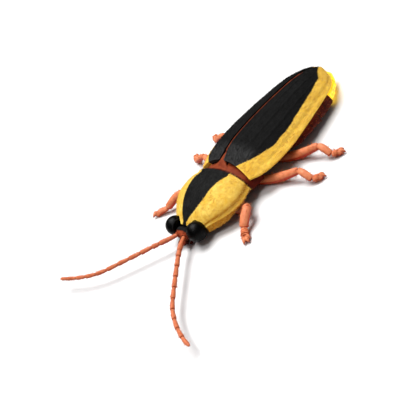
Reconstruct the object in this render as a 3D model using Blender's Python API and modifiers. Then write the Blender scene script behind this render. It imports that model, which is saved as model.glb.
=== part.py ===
# Life-size firefly at rest, a still model.
# Head towards -Y, tail towards +Y, its left side at +X, feet on the floor at Z = 0.
# The origin is on the floor below the middle of the whole length, feeler tips to tail.

import bpy
import bmesh
import math
from mathutils import Matrix, Vector

MM = 0.001

# Driving sizes, in millimetres until MM turns them to metres
SEAM_GAP = 0.2          # clear space kept between two neighbouring pieces
SHELL = 0.5             # thickness of the wing cases and of the neck shield
TAIL_TIP_Y = 12.47
TAIL_CUT_Y = 9.75       # where the glowing end of the abdomen starts
LAST_CUT_Y = 11.55      # where the last segment starts
ABDOMEN_START_Y = 3.95
THORAX_START_Y = -0.2
THORAX_END_Y = 3.75
SHIELD_REAR_Y = -0.4
SHIELD_LOBE_Y = -4.66   # the shield's middle lobe, between the eyes
SHIELD_NOTCH_Y = -3.95  # the shield's edge behind each eye
SHIELD_CORNER_Y = -4.18 # and beside each eye
EYE_RADIUS = 0.72
EYE_PLACE = (1.34, -4.86, 1.14)
EYE_FACE_X = 0.94       # flat inner face of the eye
CHEEK_X = EYE_FACE_X - SEAM_GAP

# Heights and half-widths along the body, as (y, value) stations in millimetres
HEAD_HALF_WIDTH = [(-5.5, 0.5), (-5.25, 0.86), (-4.8, 1.05), (-4.3, 0.98), (-3.75, 0.6)]
HEAD_TOP = [(-5.5, 1.2), (-5.2, 1.38), (-4.95, 1.3), (-4.7, 1.06), (-4.3, 1.04), (-3.75, 0.95)]
HEAD_BOTTOM = [(-5.5, 0.62), (-5.2, 0.42), (-4.7, 0.36), (-4.2, 0.5), (-3.75, 0.66)]

SHIELD_HALF_WIDTH = [(-4.7, 1.52), (-4.25, 1.84), (-3.8, 2.25), (-3.2, 2.78), (-2.5, 3.2), (-1.7, 3.32),
                     (-1.0, 3.12), (-0.4, 2.9)]
SHIELD_TOP = [(-4.7, 1.5), (-4.0, 2.0), (-3.0, 2.46), (-2.1, 2.71), (-1.2, 2.78), (-0.4, 2.7)]
SHIELD_WIDEST_Z = [(-4.7, 1.02), (-4.0, 1.1), (-3.2, 1.16), (-2.4, 1.2)]
# Turn in degrees from the top to each side edge, and height of the tucked-under edge, from front to rear
SHIELD_WRAP = [(0.0, 115), (0.32, 115), (0.52, 101), (1.0, 93)]
SHIELD_TUCK = [(0.0, 1.35), (0.32, 1.3), (0.52, 0.75), (1.0, 0.5)]
SHIELD_SWEEP = 0.08      # how far the tucked-under edge lies behind the front corner
SHIELD_EDGE_SHARE = 0.5 # share of the wall left at the front edge of the shield
SHIELD_EDGE_LENGTH = 1.2    # distance over which the wall thickens behind it
# Shares of the way from the middle to the side edge where the front edge turns
SHIELD_LOBE_TURN = (0.06, 0.19)
SHIELD_CORNER_TURN = (0.3, 0.5)
SHIELD_SIDE_TURN = (0.5, 1.0)

# The underside of the first body ring, inside the shield
BREAST_FRONT_Y = -3.5
BREAST_REAR_Y = -0.5
BREAST_BOTTOM_Z = 0.42
BREAST_INSET = SHELL + SEAM_GAP + 0.12

SCUTELLUM_FRONT_Y = -0.1
SCUTELLUM_LENGTH = 1.6
SCUTELLUM_HALF_WIDTH = 0.46
SCUTELLUM_WALL = 0.5
SCUTELLUM_TAPER = 0.85
SCUTELLUM_TOP = [(-0.1, 2.6), (0.5, 2.76), (1.0, 2.9), (1.6, 3.0)]

CASE_HALF_WIDTH = [(0.0, 2.85), (0.6, 3.28), (1.4, 3.62), (2.6, 3.82), (4.4, 3.74), (6.4, 3.38), (8.6, 2.9),
                   (10.0, 2.48), (10.8, 1.92), (11.3, 1.4), (11.6, 1.0), (11.75, 0.74)]
CASE_SUTURE_X = [(0.4, 0.6), (1.1, 0.36), (1.9, 0.15), (5.0, 0.15), (8.0, 0.18), (10.0, 0.26), (11.75, 0.42)]
CASE_SUTURE_Z = [(0.0, 2.62), (0.7, 2.84), (1.4, 3.08), (2.4, 3.24), (4.8, 3.28), (7.5, 3.14), (9.4, 2.93),
                 (10.7, 2.6), (11.4, 2.28), (11.75, 2.04)]
CASE_MARGIN_Z = [(0.0, 1.72), (1.0, 1.62), (3.0, 1.56), (7.0, 1.5), (10.0, 1.42), (11.75, 1.34)]
CASE_ROUNDNESS = 2.1
CASE_FRONT_Y = 0.48     # front inner corner; the shoulder is at 0
CASE_END_Y = 11.75
CASE_ROW_SPREAD = 1.15  # draws the rows closer together towards the round tip

THORAX_HALF_WIDTH = [(-0.2, 2.0), (0.1, 2.2), (0.6, 2.36), (1.2, 2.5), (2.4, 2.64), (3.3, 2.64), (3.75, 2.5)]
THORAX_TOP = [(-0.2, 1.9), (0.3, 2.02), (1.0, 2.14), (2.2, 2.36), (3.2, 2.4), (3.75, 2.26)]
THORAX_BOTTOM = [(-0.2, 0.62), (0.3, 0.44), (1.5, 0.38), (3.0, 0.36), (3.75, 0.5)]

ABDOMEN_HALF_WIDTH = [(3.95, 2.7), (5.0, 2.9), (6.5, 2.82), (8.0, 2.56), (9.6, 2.18), (10.8, 1.7),
                      (11.8, 1.06), (12.47, 0.3)]
ABDOMEN_TOP = [(3.95, 2.2), (5.5, 2.24), (7.5, 2.12), (9.5, 1.82), (10.7, 1.4), (11.3, 1.14), (11.8, 1.28),
               (12.2, 1.24), (12.47, 0.98)]
ABDOMEN_BOTTOM = [(3.95, 0.5), (5.0, 0.36), (8.0, 0.12), (9.4, -0.03), (10.2, 0.06), (11.0, 0.24),
                  (11.9, 0.44), (12.47, 0.76)]
ABDOMEN_EDGE = 0.3      # height of the side edge, as a share from belly to back
BACK_PEAK = 1.5         # above 1 draws the back in towards a ridge
BELLY_FLATNESS = 0.8    # below 1 squares the belly
SEGMENT_STARTS = [3.95, 5.15, 6.35, 7.5, 8.65, 9.75, 10.7, 11.55]
SEGMENT_STEP = 0.06     # how far each segment's rear edge stands over the next one
# Rings of one segment: place along it, and share of the step by which it stands out
SEGMENT_RINGS = [(0.1, -0.5), (0.55, 0.2), (0.95, 1.0)]
LAST_SEGMENT_RINGS = [(0.12, 0.0), (0.45, 0.0), (0.75, 0.0), (0.92, 0.0)]

# Mouthparts and feelers: the bends of the centre line, on the left side
JAW_PATH = [(0.4, -5.62, 0.5), (0.44, -5.8, 0.48), (0.38, -6.0, 0.46), (0.2, -6.12, 0.44)]
JAW_RADII = [0.15, 0.14, 0.1, 0.04]
PALP_PATH = [(0.4, -5.15, 0.17), (0.52, -5.34, 0.18), (0.64, -5.52, 0.19), (0.7, -5.68, 0.2)]
PALP_RADII = [0.1, 0.12, 0.14, 0.06]
FEELER_PATH = [(0.46, -5.74, 1.04), (0.95, -6.26, 1.1), (1.7, -7.12, 1.13), (3.3, -8.85, 1.1),
               (5.0, -10.55, 1.06), (6.5, -11.46, 1.1), (7.95, -12.04, 1.12), (8.86, -12.27, 1.06)]
FEELER_RADIUS = 0.25
# Lengths of the eleven segments against each other: a long first one, a short second one
FEELER_SEGMENTS = [1.5, 0.6] + [1.0] * 9
FEELER_BASE_SWELL = 1.22
# Rings of one segment: place along it, and width against the feeler's radius
FEELER_RINGS = [(0.06, 0.86), (0.5, 0.98), (0.94, 1.08)]

# Legs: joints of a leg, (x, y, z), and the end of its foot. The stance differs a little between the sides:
# a shift is how much further out than this the right joint stands, and how much nearer the left one
LEGS = {
    "front": dict(coxa=(0.5, -1.45, 0.66), hip=(1.15, -1.62, 0.56), knee=(4.02, -1.84, 1.1),
                  ankle=(4.75, -3.15, 0.4), toe=(5.6, -3.82, 0.3), ankle_shift=0.4, toe_shift=0.5, sag=0.46,
                  shin_width=1.25),
    "middle": dict(coxa=(0.5, 0.95, 0.64), hip=(1.15, 0.82, 0.5), knee=(5.55, 2.1, 0.95),
                   ankle=(6.72, 2.0, 0.36), toe=(7.3, 2.48, 0.3), ankle_shift=0.1, toe_shift=0.4, sag=0.25,
                   shin_width=1.0),
    "hind": dict(coxa=(0.55, 3.05, 0.62), hip=(1.25, 3.15, 0.48), knee=(5.45, 4.55, 0.97),
                 ankle=(6.6, 4.45, 0.36), toe=(7.2, 4.9, 0.3), ankle_shift=0.15, toe_shift=0.42, sag=0.28,
                 shin_width=1.0),
}
# Rings of each part of the leg: place along it, and radius
COXA_RINGS = [(0.0, 0.25), (0.35, 0.36), (0.75, 0.31), (1.0, 0.25)]
THIGH_RINGS = [(0.15, 0.27), (0.35, 0.31), (0.6, 0.31), (0.85, 0.27), (1.0, 0.24)]
SHIN_RINGS = [(0.12, 0.24), (0.55, 0.25), (0.9, 0.27), (1.0, 0.22)]
SHIN_BOW = 0.1
SOCKET_RINGS = 7        # rings of the leg, from its root, that its socket follows
CLAW_LENGTH = 0.42
CLAW_RADII = [0.12, 0.09, 0.03]
CLAW_TIP_Z = 0.05
CLAW_SPREAD_DEG = 32
# The five joints of the foot: share of its length, and radius; the fourth is the wide, two-lobed one
FOOT_JOINTS = [(0.28, 0.25), (0.19, 0.25), (0.15, 0.26), (0.16, 0.31), (0.22, 0.19)]
FOOT_RINGS = [(0.2, 0.86), (0.85, 1.0)]

SHARP_EDGE_DEG = 40
WELD = 1e-7

COLOURS = {
    "yellow": ((0.83, 0.55, 0.11), 0.45),
    "black": ((0.012, 0.012, 0.012), 0.4),
    "orange": ((0.75, 0.19, 0.07), 0.5),
    "red_brown": ((0.2, 0.03, 0.012), 0.5),
    "eye": ((0.004, 0.004, 0.005), 0.15),
    "glow": ((0.98, 0.83, 0.1), 0.35),
}


def clear_scene():
    for obj in list(bpy.data.objects):
        bpy.data.objects.remove(obj, do_unlink=True)


def make_materials():
    made = {}
    for name, (colour, roughness) in COLOURS.items():
        material = bpy.data.materials.new(name)
        material.use_nodes = True
        shader = material.node_tree.nodes["Principled BSDF"]
        shader.inputs["Base Color"].default_value = (*colour, 1)
        shader.inputs["Roughness"].default_value = roughness
        shader.inputs["Metallic"].default_value = 0.0
        made[name] = material
    return made


# The value at a place on a smooth curve through a few (place, value) stations
def through(stations, place):
    places = [s[0] for s in stations]
    values = [s[1] for s in stations]
    if place <= places[0]:
        return values[0]
    if place >= places[-1]:
        return values[-1]
    last = len(places) - 1
    i = max(k for k in range(last) if places[k] <= place)

    def slope(k):
        a, b = max(k - 1, 0), min(k + 1, last)
        return (values[b] - values[a]) / (places[b] - places[a])

    span = places[i + 1] - places[i]
    t = (place - places[i]) / span
    return (values[i] * (2 * t ** 3 - 3 * t ** 2 + 1) + values[i + 1] * (3 * t ** 2 - 2 * t ** 3)
            + slope(i) * span * (t ** 3 - 2 * t ** 2 + t) + slope(i + 1) * span * (t ** 3 - t ** 2))


# Rises smoothly from 0 to 1 while the value goes from start to end
def smooth_step(value, start, end):
    t = min(max((value - start) / (end - start), 0.0), 1.0)
    return t * t * (3 - 2 * t)


def finish(name, bm, material, collection):
    mesh = bpy.data.meshes.new(name)
    bmesh.ops.recalc_face_normals(bm, faces=bm.faces)
    if bm.calc_volume(signed=True) < 0:
        bmesh.ops.reverse_faces(bm, faces=bm.faces)
    bm.to_mesh(mesh)
    bm.free()
    mesh.shade_smooth()
    mesh.set_sharp_from_angle(angle=math.radians(SHARP_EDGE_DEG))
    obj = bpy.data.objects.new(name, mesh)
    obj.data.materials.append(material)
    collection.objects.link(obj)
    return obj


# A closed round body: place(t, angle) gives the point at share t from front pole to rear pole
def round_body(sides, rings, place):
    bm = bmesh.new()
    bmesh.ops.create_uvsphere(bm, u_segments=sides, v_segments=rings, radius=1)
    for vertex in bm.verts:
        t = math.acos(max(-1.0, min(1.0, vertex.co.z))) / math.pi
        angle = math.atan2(vertex.co.y, vertex.co.x)
        vertex.co = Vector(place(t, angle)) * MM
    return bm


# An open sheet: place(u, v) gives the point at u across and v along, each from 0 to 1
def open_sheet(across, along, place):
    bm = bmesh.new()
    bmesh.ops.create_grid(bm, x_segments=across, y_segments=along, size=1)
    for vertex in bm.verts:
        u, v = (vertex.co.x + 1) / 2, (vertex.co.y + 1) / 2
        vertex.co = Vector(place(u, v)) * MM
    bmesh.ops.triangulate(bm, faces=bm.faces)
    return bm


# Gives an open sheet its wall, inwards from the face whose normals point out
def thicken(obj, wall):
    modifier = obj.modifiers.new("wall", "SOLIDIFY")
    modifier.thickness = wall * MM
    modifier.offset = -1
    modifier.use_even_offset = True
    return obj


# Cuts a mesh with a plane and closes the cut; the side that the normal points to goes
def slice_off(bm, point, normal):
    geometry = bm.verts[:] + bm.edges[:] + bm.faces[:]
    bmesh.ops.bisect_plane(bm, geom=geometry, dist=WELD, plane_co=Vector(point) * MM,
                           plane_no=Vector(normal), clear_outer=True)
    rim = [edge for edge in bm.edges if edge.is_boundary]
    if rim:
        bmesh.ops.holes_fill(bm, edges=rim, sides=0)
    return bm


# A closed tube through points, with a radius at each point
def tube(points, radii, resolution=2):
    curve = bpy.data.curves.new("tube", "CURVE")
    curve.dimensions = "3D"
    curve.bevel_depth = MM
    curve.bevel_resolution = resolution
    curve.use_fill_caps = True
    spline = curve.splines.new("POLY")
    spline.points.add(len(points) - 1)
    for knot, point, radius in zip(spline.points, points, radii):
        knot.co = (*(Vector(point) * MM), 1)
        knot.radius = radius
    obj = bpy.data.objects.new("tube", curve)
    bpy.context.scene.collection.objects.link(obj)
    graph = bpy.context.evaluated_depsgraph_get()
    mesh = bpy.data.meshes.new_from_object(obj.evaluated_get(graph))
    bm = bmesh.new()
    bm.from_mesh(mesh)
    bm.transform(obj.matrix_world)
    bmesh.ops.remove_doubles(bm, verts=bm.verts, dist=WELD)
    bpy.data.objects.remove(obj)
    bpy.data.meshes.remove(mesh)
    bpy.data.curves.remove(curve)
    return bm


# Joins or cuts with one Boolean on a collection of closed meshes, and keeps the largest body
def combine(base, others, operation, solver="EXACT"):
    tools = bpy.data.collections.new("tools")
    bpy.context.scene.collection.children.link(tools)
    for other in others:
        for holder in list(other.users_collection):
            holder.objects.unlink(other)
        tools.objects.link(other)
    modifier = base.modifiers.new("combine", "BOOLEAN")
    modifier.operation = operation
    modifier.solver = solver
    modifier.operand_type = "COLLECTION"
    modifier.collection = tools
    graph = bpy.context.evaluated_depsgraph_get()
    mesh = bpy.data.meshes.new_from_object(base.evaluated_get(graph))
    base.modifiers.clear()
    for other in others:
        bpy.data.objects.remove(other, do_unlink=True)
    bpy.data.collections.remove(tools)
    old = base.data
    base.data = mesh
    bpy.data.meshes.remove(old)
    keep_largest(mesh)
    mesh.shade_smooth()
    mesh.set_sharp_from_angle(angle=math.radians(SHARP_EDGE_DEG))
    return base


def keep_largest(mesh):
    bm = bmesh.new()
    bm.from_mesh(mesh)
    bmesh.ops.remove_doubles(bm, verts=bm.verts, dist=2 * WELD)
    left = set(bm.verts)
    bodies = []
    while left:
        front = [left.pop()]
        body = set(front)
        while front:
            for edge in front.pop().link_edges:
                for vertex in edge.verts:
                    if vertex in left:
                        left.discard(vertex)
                        body.add(vertex)
                        front.append(vertex)
        bodies.append(body)
    largest = max(bodies, key=len)
    loose = [vertex for vertex in bm.verts if vertex not in largest]
    bmesh.ops.delete(bm, geom=loose, context="VERTS")
    bm.to_mesh(mesh)
    bm.free()


def mirrored(point, side):
    return (point[0] * side, point[1], point[2])


def shield_place(u, v):
    turn = math.radians(through(SHIELD_WRAP, v)) * (2 * u - 1)
    reach = abs(2 * u - 1)
    front = SHIELD_LOBE_Y + (SHIELD_NOTCH_Y - SHIELD_LOBE_Y) * smooth_step(reach, *SHIELD_LOBE_TURN)
    front += (SHIELD_CORNER_Y - SHIELD_NOTCH_Y) * smooth_step(reach, *SHIELD_CORNER_TURN)
    front += SHIELD_SWEEP * smooth_step(reach, *SHIELD_SIDE_TURN)
    y = front + (SHIELD_REAR_Y - front) * v
    half_width = through(SHIELD_HALF_WIDTH, y)
    widest = through(SHIELD_WIDEST_Z, y)
    height = through(SHIELD_TOP, y) - widest if abs(turn) < math.pi / 2 else through(SHIELD_TUCK, v)
    return half_width * math.sin(turn), y, widest + height * math.cos(turn)


def make_pronotum(materials, collection):
    obj = finish("pronotum", open_sheet(24, 14, shield_place), materials["yellow"], collection)
    point_outwards(obj, Vector((0, -2, 1.2)) * MM)
    full_wall = obj.vertex_groups.new(name="full_wall")
    for vertex in obj.data.vertices:
        weight = smooth_step(vertex.co.y / MM, SHIELD_LOBE_Y, SHIELD_LOBE_Y + SHIELD_EDGE_LENGTH)
        full_wall.add([vertex.index], weight, "REPLACE")
    modifier = thicken(obj, SHELL).modifiers["wall"]
    modifier.vertex_group = full_wall.name
    modifier.thickness_vertex_group = SHIELD_EDGE_SHARE
    return obj


# Turns an open sheet's faces away from a point inside it
def point_outwards(obj, inside):
    votes = sum(1 if (poly.center - inside).dot(poly.normal) > 0 else -1 for poly in obj.data.polygons)
    if votes < 0:
        obj.data.flip_normals()


# One section of a trunk piece: half-ellipses above and below its widest level.
# back and belly bend the upper and the lower half away from the ellipse.
def trunk_point(angle, half_width, top, bottom, y, edge=0.5, back=1.0, belly=1.0):
    widest = bottom + (top - bottom) * edge
    across, up = math.cos(angle), math.sin(angle)
    lift = (top - widest) if up >= 0 else (widest - bottom)
    across = math.copysign(abs(across) ** (back if up >= 0 else belly), across)
    return half_width * across, y, widest + lift * up


# A body from start to end along Y that is blunt at both ends; a larger bluntness squares its ends.
# half_width, top and bottom are functions of y.
def blunt_body(sides, rings, start, end, bluntness, half_width, top, bottom, back=1.0, belly=1.0):
    def place(t, angle):
        y = start + (end - start) * (0.5 - 0.5 * math.cos(math.pi * t))
        size = max(0.0, 1 - abs(2 * t - 1) ** bluntness) ** (1 / bluntness)
        middle = (top(y) + bottom(y)) / 2
        reach = (top(y) - middle) * size
        return trunk_point(angle, half_width(y) * size, middle + reach, middle - reach, y,
                           back=back, belly=belly)

    return round_body(sides, rings, place)


def make_prosternum(materials, collection):
    bm = blunt_body(24, 12, BREAST_FRONT_Y, BREAST_REAR_Y, 3.2,
                    lambda y: through(SHIELD_HALF_WIDTH, y) - BREAST_INSET,
                    lambda y: through(SHIELD_TOP, y) - BREAST_INSET,
                    lambda y: BREAST_BOTTOM_Z)
    return finish("prosternum", bm, materials["red_brown"], collection)


def make_head(materials, collection):
    bm = blunt_body(24, 14, HEAD_HALF_WIDTH[0][0], HEAD_HALF_WIDTH[-1][0], 3.0,
                    lambda y: through(HEAD_HALF_WIDTH, y),
                    lambda y: through(HEAD_TOP, y),
                    lambda y: through(HEAD_BOTTOM, y))
    for side in (1, -1):
        slice_off(bm, (CHEEK_X * side, 0, 0), (side, 0, 0))
    return finish("head", bm, materials["black"], collection)


def make_eye(name, side, materials, collection):
    x, y, z = EYE_PLACE

    def place(t, angle):
        polar = math.pi * t
        return (x * side + EYE_RADIUS * math.sin(polar) * math.cos(angle),
                y + EYE_RADIUS * math.sin(polar) * math.sin(angle), z + EYE_RADIUS * math.cos(polar))

    bm = slice_off(round_body(20, 12, place), (EYE_FACE_X * side, 0, 0), (-side, 0, 0))
    return finish(name, bm, materials["eye"], collection)


def make_mouthpart(name, side, path, radii, material, collection):
    return finish(name, tube([mirrored(p, side) for p in path], radii, 1), material, collection)


# Points read at equal steps from a smooth curve through the given ones
def smooth_path(points, steps):
    lengths = [0.0]
    for a, b in zip(points, points[1:]):
        lengths.append(lengths[-1] + (Vector(b) - Vector(a)).length)
    tracks = [[(s, p[axis]) for s, p in zip(lengths, points)] for axis in range(3)]
    return [tuple(through(track, lengths[-1] * k / steps) for track in tracks) for k in range(steps + 1)]


# A feeler is a chain of segments that widen to their ends, thinner towards the tip
def make_feeler(name, side, materials, collection):
    total = sum(FEELER_SEGMENTS)
    places, radii, start = [0.0], [FEELER_RADIUS], 0.0
    for k, length in enumerate(FEELER_SEGMENTS):
        swell = FEELER_BASE_SWELL if k == 0 else 1.0
        taper = 1.0 - 0.18 * smooth_step(k, 5, 10)
        for part, width in FEELER_RINGS:
            places.append((start + length * part) / total)
            radii.append(FEELER_RADIUS * width * swell * taper)
        start += length
    places.append(1.0)
    radii.append(FEELER_RADIUS * 0.4)
    steps = 240
    path = smooth_path([mirrored(p, side) for p in FEELER_PATH], steps)
    points = [path[round(place * steps)] for place in places]
    return finish(name, tube(points, radii), materials["orange"], collection)


def make_thorax(materials, collection):
    bm = blunt_body(28, 14, THORAX_START_Y, THORAX_END_Y, 4.5,
                    lambda y: through(THORAX_HALF_WIDTH, y),
                    lambda y: through(THORAX_TOP, y),
                    lambda y: through(THORAX_BOTTOM, y))
    return finish("thorax", bm, materials["red_brown"], collection)


# The triangular plate between the roots of the wing cases
def make_scutellum(materials, collection):
    def half_width(y):
        return SCUTELLUM_HALF_WIDTH * (1 - SCUTELLUM_TAPER * (y - SCUTELLUM_FRONT_Y) / SCUTELLUM_LENGTH)

    bm = blunt_body(14, 9, SCUTELLUM_FRONT_Y, SCUTELLUM_FRONT_Y + SCUTELLUM_LENGTH, 5, half_width,
                    lambda y: through(SCUTELLUM_TOP, y),
                    lambda y: through(SCUTELLUM_TOP, y) - SCUTELLUM_WALL, back=0.8, belly=0.8)
    return finish("scutellum", bm, materials["orange"], collection)


def case_place(side):
    def place(u, v):
        front = CASE_FRONT_Y * (1 - u ** 1.5)
        y = front + (CASE_END_Y - front) * math.sin(0.5 * math.pi * v) ** CASE_ROW_SPREAD
        inner, outer = through(CASE_SUTURE_X, y), through(CASE_HALF_WIDTH, y)
        suture, margin = through(CASE_SUTURE_Z, y), through(CASE_MARGIN_Z, y)
        x = inner + (outer - inner) * u
        return x * side, y, suture - (suture - margin) * u ** CASE_ROUNDNESS

    return place


def make_wing_case(name, side, materials, collection):
    obj = finish(name, open_sheet(9, 20, case_place(side)), materials["black"], collection)
    point_outwards(obj, Vector((1.5 * side, 5, 0)) * MM)
    return thicken(obj, SHELL)


# The places and sizes of the rings of the abdomen: each segment swells to its rear edge, then steps in
def abdomen_rings():
    rings = []
    ends = SEGMENT_STARTS[1:] + [TAIL_TIP_Y]
    for start, end in zip(SEGMENT_STARTS, ends):
        shares = LAST_SEGMENT_RINGS if end == TAIL_TIP_Y else SEGMENT_RINGS
        rings += [(start + (end - start) * share, step) for share, step in shares]
    return rings


def make_abdomen(materials, collection):
    rings = abdomen_rings()
    poles = {0: (ABDOMEN_START_Y, 0.0), len(rings) + 1: (TAIL_TIP_Y, 0.0)}

    def place(t, angle):
        k = round(t * (len(rings) + 1))
        y, step = poles.get(k) or rings[k - 1]
        top, bottom = through(ABDOMEN_TOP, y), through(ABDOMEN_BOTTOM, y)
        level = bottom + (top - bottom) * ABDOMEN_EDGE
        if k in poles:
            return 0, y, level
        grow = step * SEGMENT_STEP
        return trunk_point(angle, through(ABDOMEN_HALF_WIDTH, y) + grow, top + grow, bottom - grow, y,
                           ABDOMEN_EDGE, BACK_PEAK, BELLY_FLATNESS)

    whole = round_body(28, len(rings) + 1, place)
    slice_off(whole, (0, 0, 0), (0, 0, -1))
    half_gap = SEAM_GAP / 2
    cuts = [("abdomen", None, TAIL_CUT_Y, "red_brown"), ("lantern", TAIL_CUT_Y, LAST_CUT_Y, "glow"),
            ("tail_tip", LAST_CUT_Y, None, "glow")]
    made = []
    for name, start, end, colour in cuts:
        bm = whole.copy()
        if start is not None:
            slice_off(bm, (0, start + half_gap, 0), (0, -1, 0))
        if end is not None:
            slice_off(bm, (0, end - half_gap, 0), (0, 1, 0))
        made.append(finish(name, bm, materials[colour], collection))
    whole.free()
    return made


# The centre line of a leg and its radius along it, from the root to the end of the foot
def leg_line(spec, side):
    def joint(key, shift=0.0):
        x, y, z = spec[key]
        return Vector((x * side - shift, y, z))

    coxa, hip, knee = joint("coxa"), joint("hip"), joint("knee")
    ankle, toe = joint("ankle", spec["ankle_shift"]), joint("toe", spec["toe_shift"])
    line = [(coxa.lerp(hip, share), radius) for share, radius in COXA_RINGS]
    for share, radius in THIGH_RINGS:
        droop = Vector((0, 0, spec["sag"] * math.sin(math.pi * share)))
        line.append((hip.lerp(knee, share) - droop, radius))
    for share, radius in SHIN_RINGS:
        bow = Vector((0, 0, SHIN_BOW * math.sin(math.pi * share)))
        line.append((knee.lerp(ankle, share) + bow, radius * spec["shin_width"]))
    start = 0.0
    for length, radius in FOOT_JOINTS:
        for share, width in FOOT_RINGS:
            line.append((ankle.lerp(toe, start + length * share), radius * width))
        start += length
    return line


def make_claws(line, material, collection):
    toe, heel = line[-1][0], line[-2][0]
    ahead = toe - heel
    ahead.z = 0
    ahead.normalize()
    claws = []
    for turn in (-1, 1):
        out = Matrix.Rotation(math.radians(CLAW_SPREAD_DEG * turn), 3, "Z") @ ahead
        tip = toe + out * CLAW_LENGTH
        tip.z = CLAW_TIP_Z
        middle = toe.lerp(tip, 0.5)
        middle.z = toe.z
        claw = tube([toe - ahead * CLAW_TIP_Z, middle, tip], CLAW_RADII, 1)
        claws.append(finish("claw", claw, material, collection))
    return claws


def make_leg(name, spec, side, materials, collection):
    line = leg_line(spec, side)
    points, radii = zip(*line)
    leg = finish(name, tube(points, radii), materials["orange"], collection)
    combine(leg, make_claws(line, materials["orange"], collection), "UNION", "MANIFOLD")
    bm = bmesh.new()
    bm.from_mesh(leg.data)
    slice_off(bm, (0, 0, 0), (0, 0, -1))
    bm.to_mesh(leg.data)
    bm.free()
    return leg


# A copy of a leg's root, wider by the gap, which cuts its socket in the body
def socket_cutter(spec, side, materials, collection):
    points, radii = zip(*leg_line(spec, side)[:SOCKET_RINGS])
    start = points[0] - (points[1] - points[0]).normalized() * SEAM_GAP
    wide = [radius + SEAM_GAP for radius in radii]
    return finish("socket", tube([start, *points], [wide[0], *wide]), materials["black"], collection)


def build():
    clear_scene()
    materials = make_materials()
    collection = bpy.data.collections.new("firefly")
    bpy.context.scene.collection.children.link(collection)
    sides = {"left": 1, "right": -1}

    make_head(materials, collection)
    make_pronotum(materials, collection)
    prosternum = make_prosternum(materials, collection)
    thorax = make_thorax(materials, collection)
    make_scutellum(materials, collection)
    make_abdomen(materials, collection)
    for word, side in sides.items():
        make_eye(f"eye_{word}", side, materials, collection)
        make_feeler(f"antenna_{word}", side, materials, collection)
        make_mouthpart(f"mandible_{word}", side, JAW_PATH, JAW_RADII, materials["red_brown"], collection)
        make_mouthpart(f"palp_{word}", side, PALP_PATH, PALP_RADII, materials["orange"], collection)
        make_wing_case(f"elytron_{word}", side, materials, collection)
        for row, spec in LEGS.items():
            make_leg(f"{row}_leg_{word}", spec, side, materials, collection)

    cutters = [socket_cutter(LEGS["front"], side, materials, collection) for side in sides.values()]
    combine(prosternum, cutters, "DIFFERENCE")
    cutters = [socket_cutter(LEGS[row], side, materials, collection) for row in ("middle", "hind")
               for side in sides.values()]
    combine(thorax, cutters, "DIFFERENCE")


build()
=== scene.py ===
import bisect
import math
import random

import bmesh
import bpy
from mathutils import Matrix, Vector, noise


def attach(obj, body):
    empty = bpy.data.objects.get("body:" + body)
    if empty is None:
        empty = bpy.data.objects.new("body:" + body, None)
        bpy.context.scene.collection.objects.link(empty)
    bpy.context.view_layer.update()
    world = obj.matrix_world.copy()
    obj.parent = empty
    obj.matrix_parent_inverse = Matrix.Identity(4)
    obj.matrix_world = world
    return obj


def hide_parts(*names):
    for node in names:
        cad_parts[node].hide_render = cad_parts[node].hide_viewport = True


# A life-size firefly at rest. Head towards -Y, tail towards +Y, its left side at +X.
# Shapes are worked in millimetres and turned to metres when a piece is finished.
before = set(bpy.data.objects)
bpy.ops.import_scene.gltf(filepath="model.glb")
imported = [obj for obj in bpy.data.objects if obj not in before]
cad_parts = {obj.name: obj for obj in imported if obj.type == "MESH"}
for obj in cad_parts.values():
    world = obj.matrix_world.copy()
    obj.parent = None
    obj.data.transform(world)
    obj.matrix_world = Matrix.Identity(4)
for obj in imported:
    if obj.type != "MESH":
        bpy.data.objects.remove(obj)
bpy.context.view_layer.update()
mm = 0.001


# A smooth curve through (place, value) stations
def through(stations, place):
    places = [s[0] for s in stations]
    values = [s[1] for s in stations]
    if place <= places[0]:
        return values[0]
    if place >= places[-1]:
        return values[-1]
    last = len(places) - 1
    i = bisect.bisect_right(places, place) - 1

    def slope(k):
        a, b = max(k - 1, 0), min(k + 1, last)
        return (values[b] - values[a]) / (places[b] - places[a])

    span = places[i + 1] - places[i]
    t = (place - places[i]) / span
    return (values[i] * (2 * t ** 3 - 3 * t ** 2 + 1) + values[i + 1] * (3 * t ** 2 - 2 * t ** 3)
            + slope(i) * span * (t ** 3 - 2 * t ** 2 + t) + slope(i + 1) * span * (t ** 3 - t ** 2))


def curveOf(stations):
    return lambda place: through(stations, place)


def smoothStep(value, start, end):
    t = min(max((value - start) / (end - start), 0.0), 1.0)
    return t * t * (3 - 2 * t)


def hump(value, middle, width):  # 1 at the middle, fading out over the width
    return math.exp(-((value - middle) / width) ** 2)


def swell(point, size):  # slow random rise and fall, from -1 to 1
    return noise.noise(Vector(point) / size)


def rises(place, beads):  # beads and grooves together, each one (height, middle, width)
    return sum(height * hump(place, middle, width) for height, middle, width in beads)


# Mesh helpers

# A grid of faces bent to place(u, v); closed joins its two sides and its poles
def bentGrid(across, along, place, closed=False):
    bm = bmesh.new()
    bmesh.ops.create_grid(bm, x_segments=across, y_segments=along, size=0.5)
    for vert in bm.verts:
        vert.co = place(vert.co.x + 0.5, vert.co.y + 0.5)
    if closed:
        bmesh.ops.remove_doubles(bm, verts=bm.verts, dist=0.001)
    bmesh.ops.recalc_face_normals(bm, faces=bm.faces)
    return bm


def faceAwayFrom(bm, inside):
    lean = sum((f.calc_center_median() - Vector(inside)).dot(f.normal) * f.calc_area() for f in bm.faces)
    if lean < 0:
        bmesh.ops.reverse_faces(bm, faces=bm.faces)


def closeEnds(bm):
    bmesh.ops.holes_fill(bm, edges=[e for e in bm.edges if e.is_boundary], sides=0)
    bmesh.ops.recalc_face_normals(bm, faces=bm.faces)


def joinTo(target, part):
    mesh = bpy.data.meshes.new("part")
    part.to_mesh(mesh)
    part.free()
    target.from_mesh(mesh)
    bpy.data.meshes.remove(mesh)


lineStep = 0.02  # the share of a line over which its direction is taken


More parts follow.
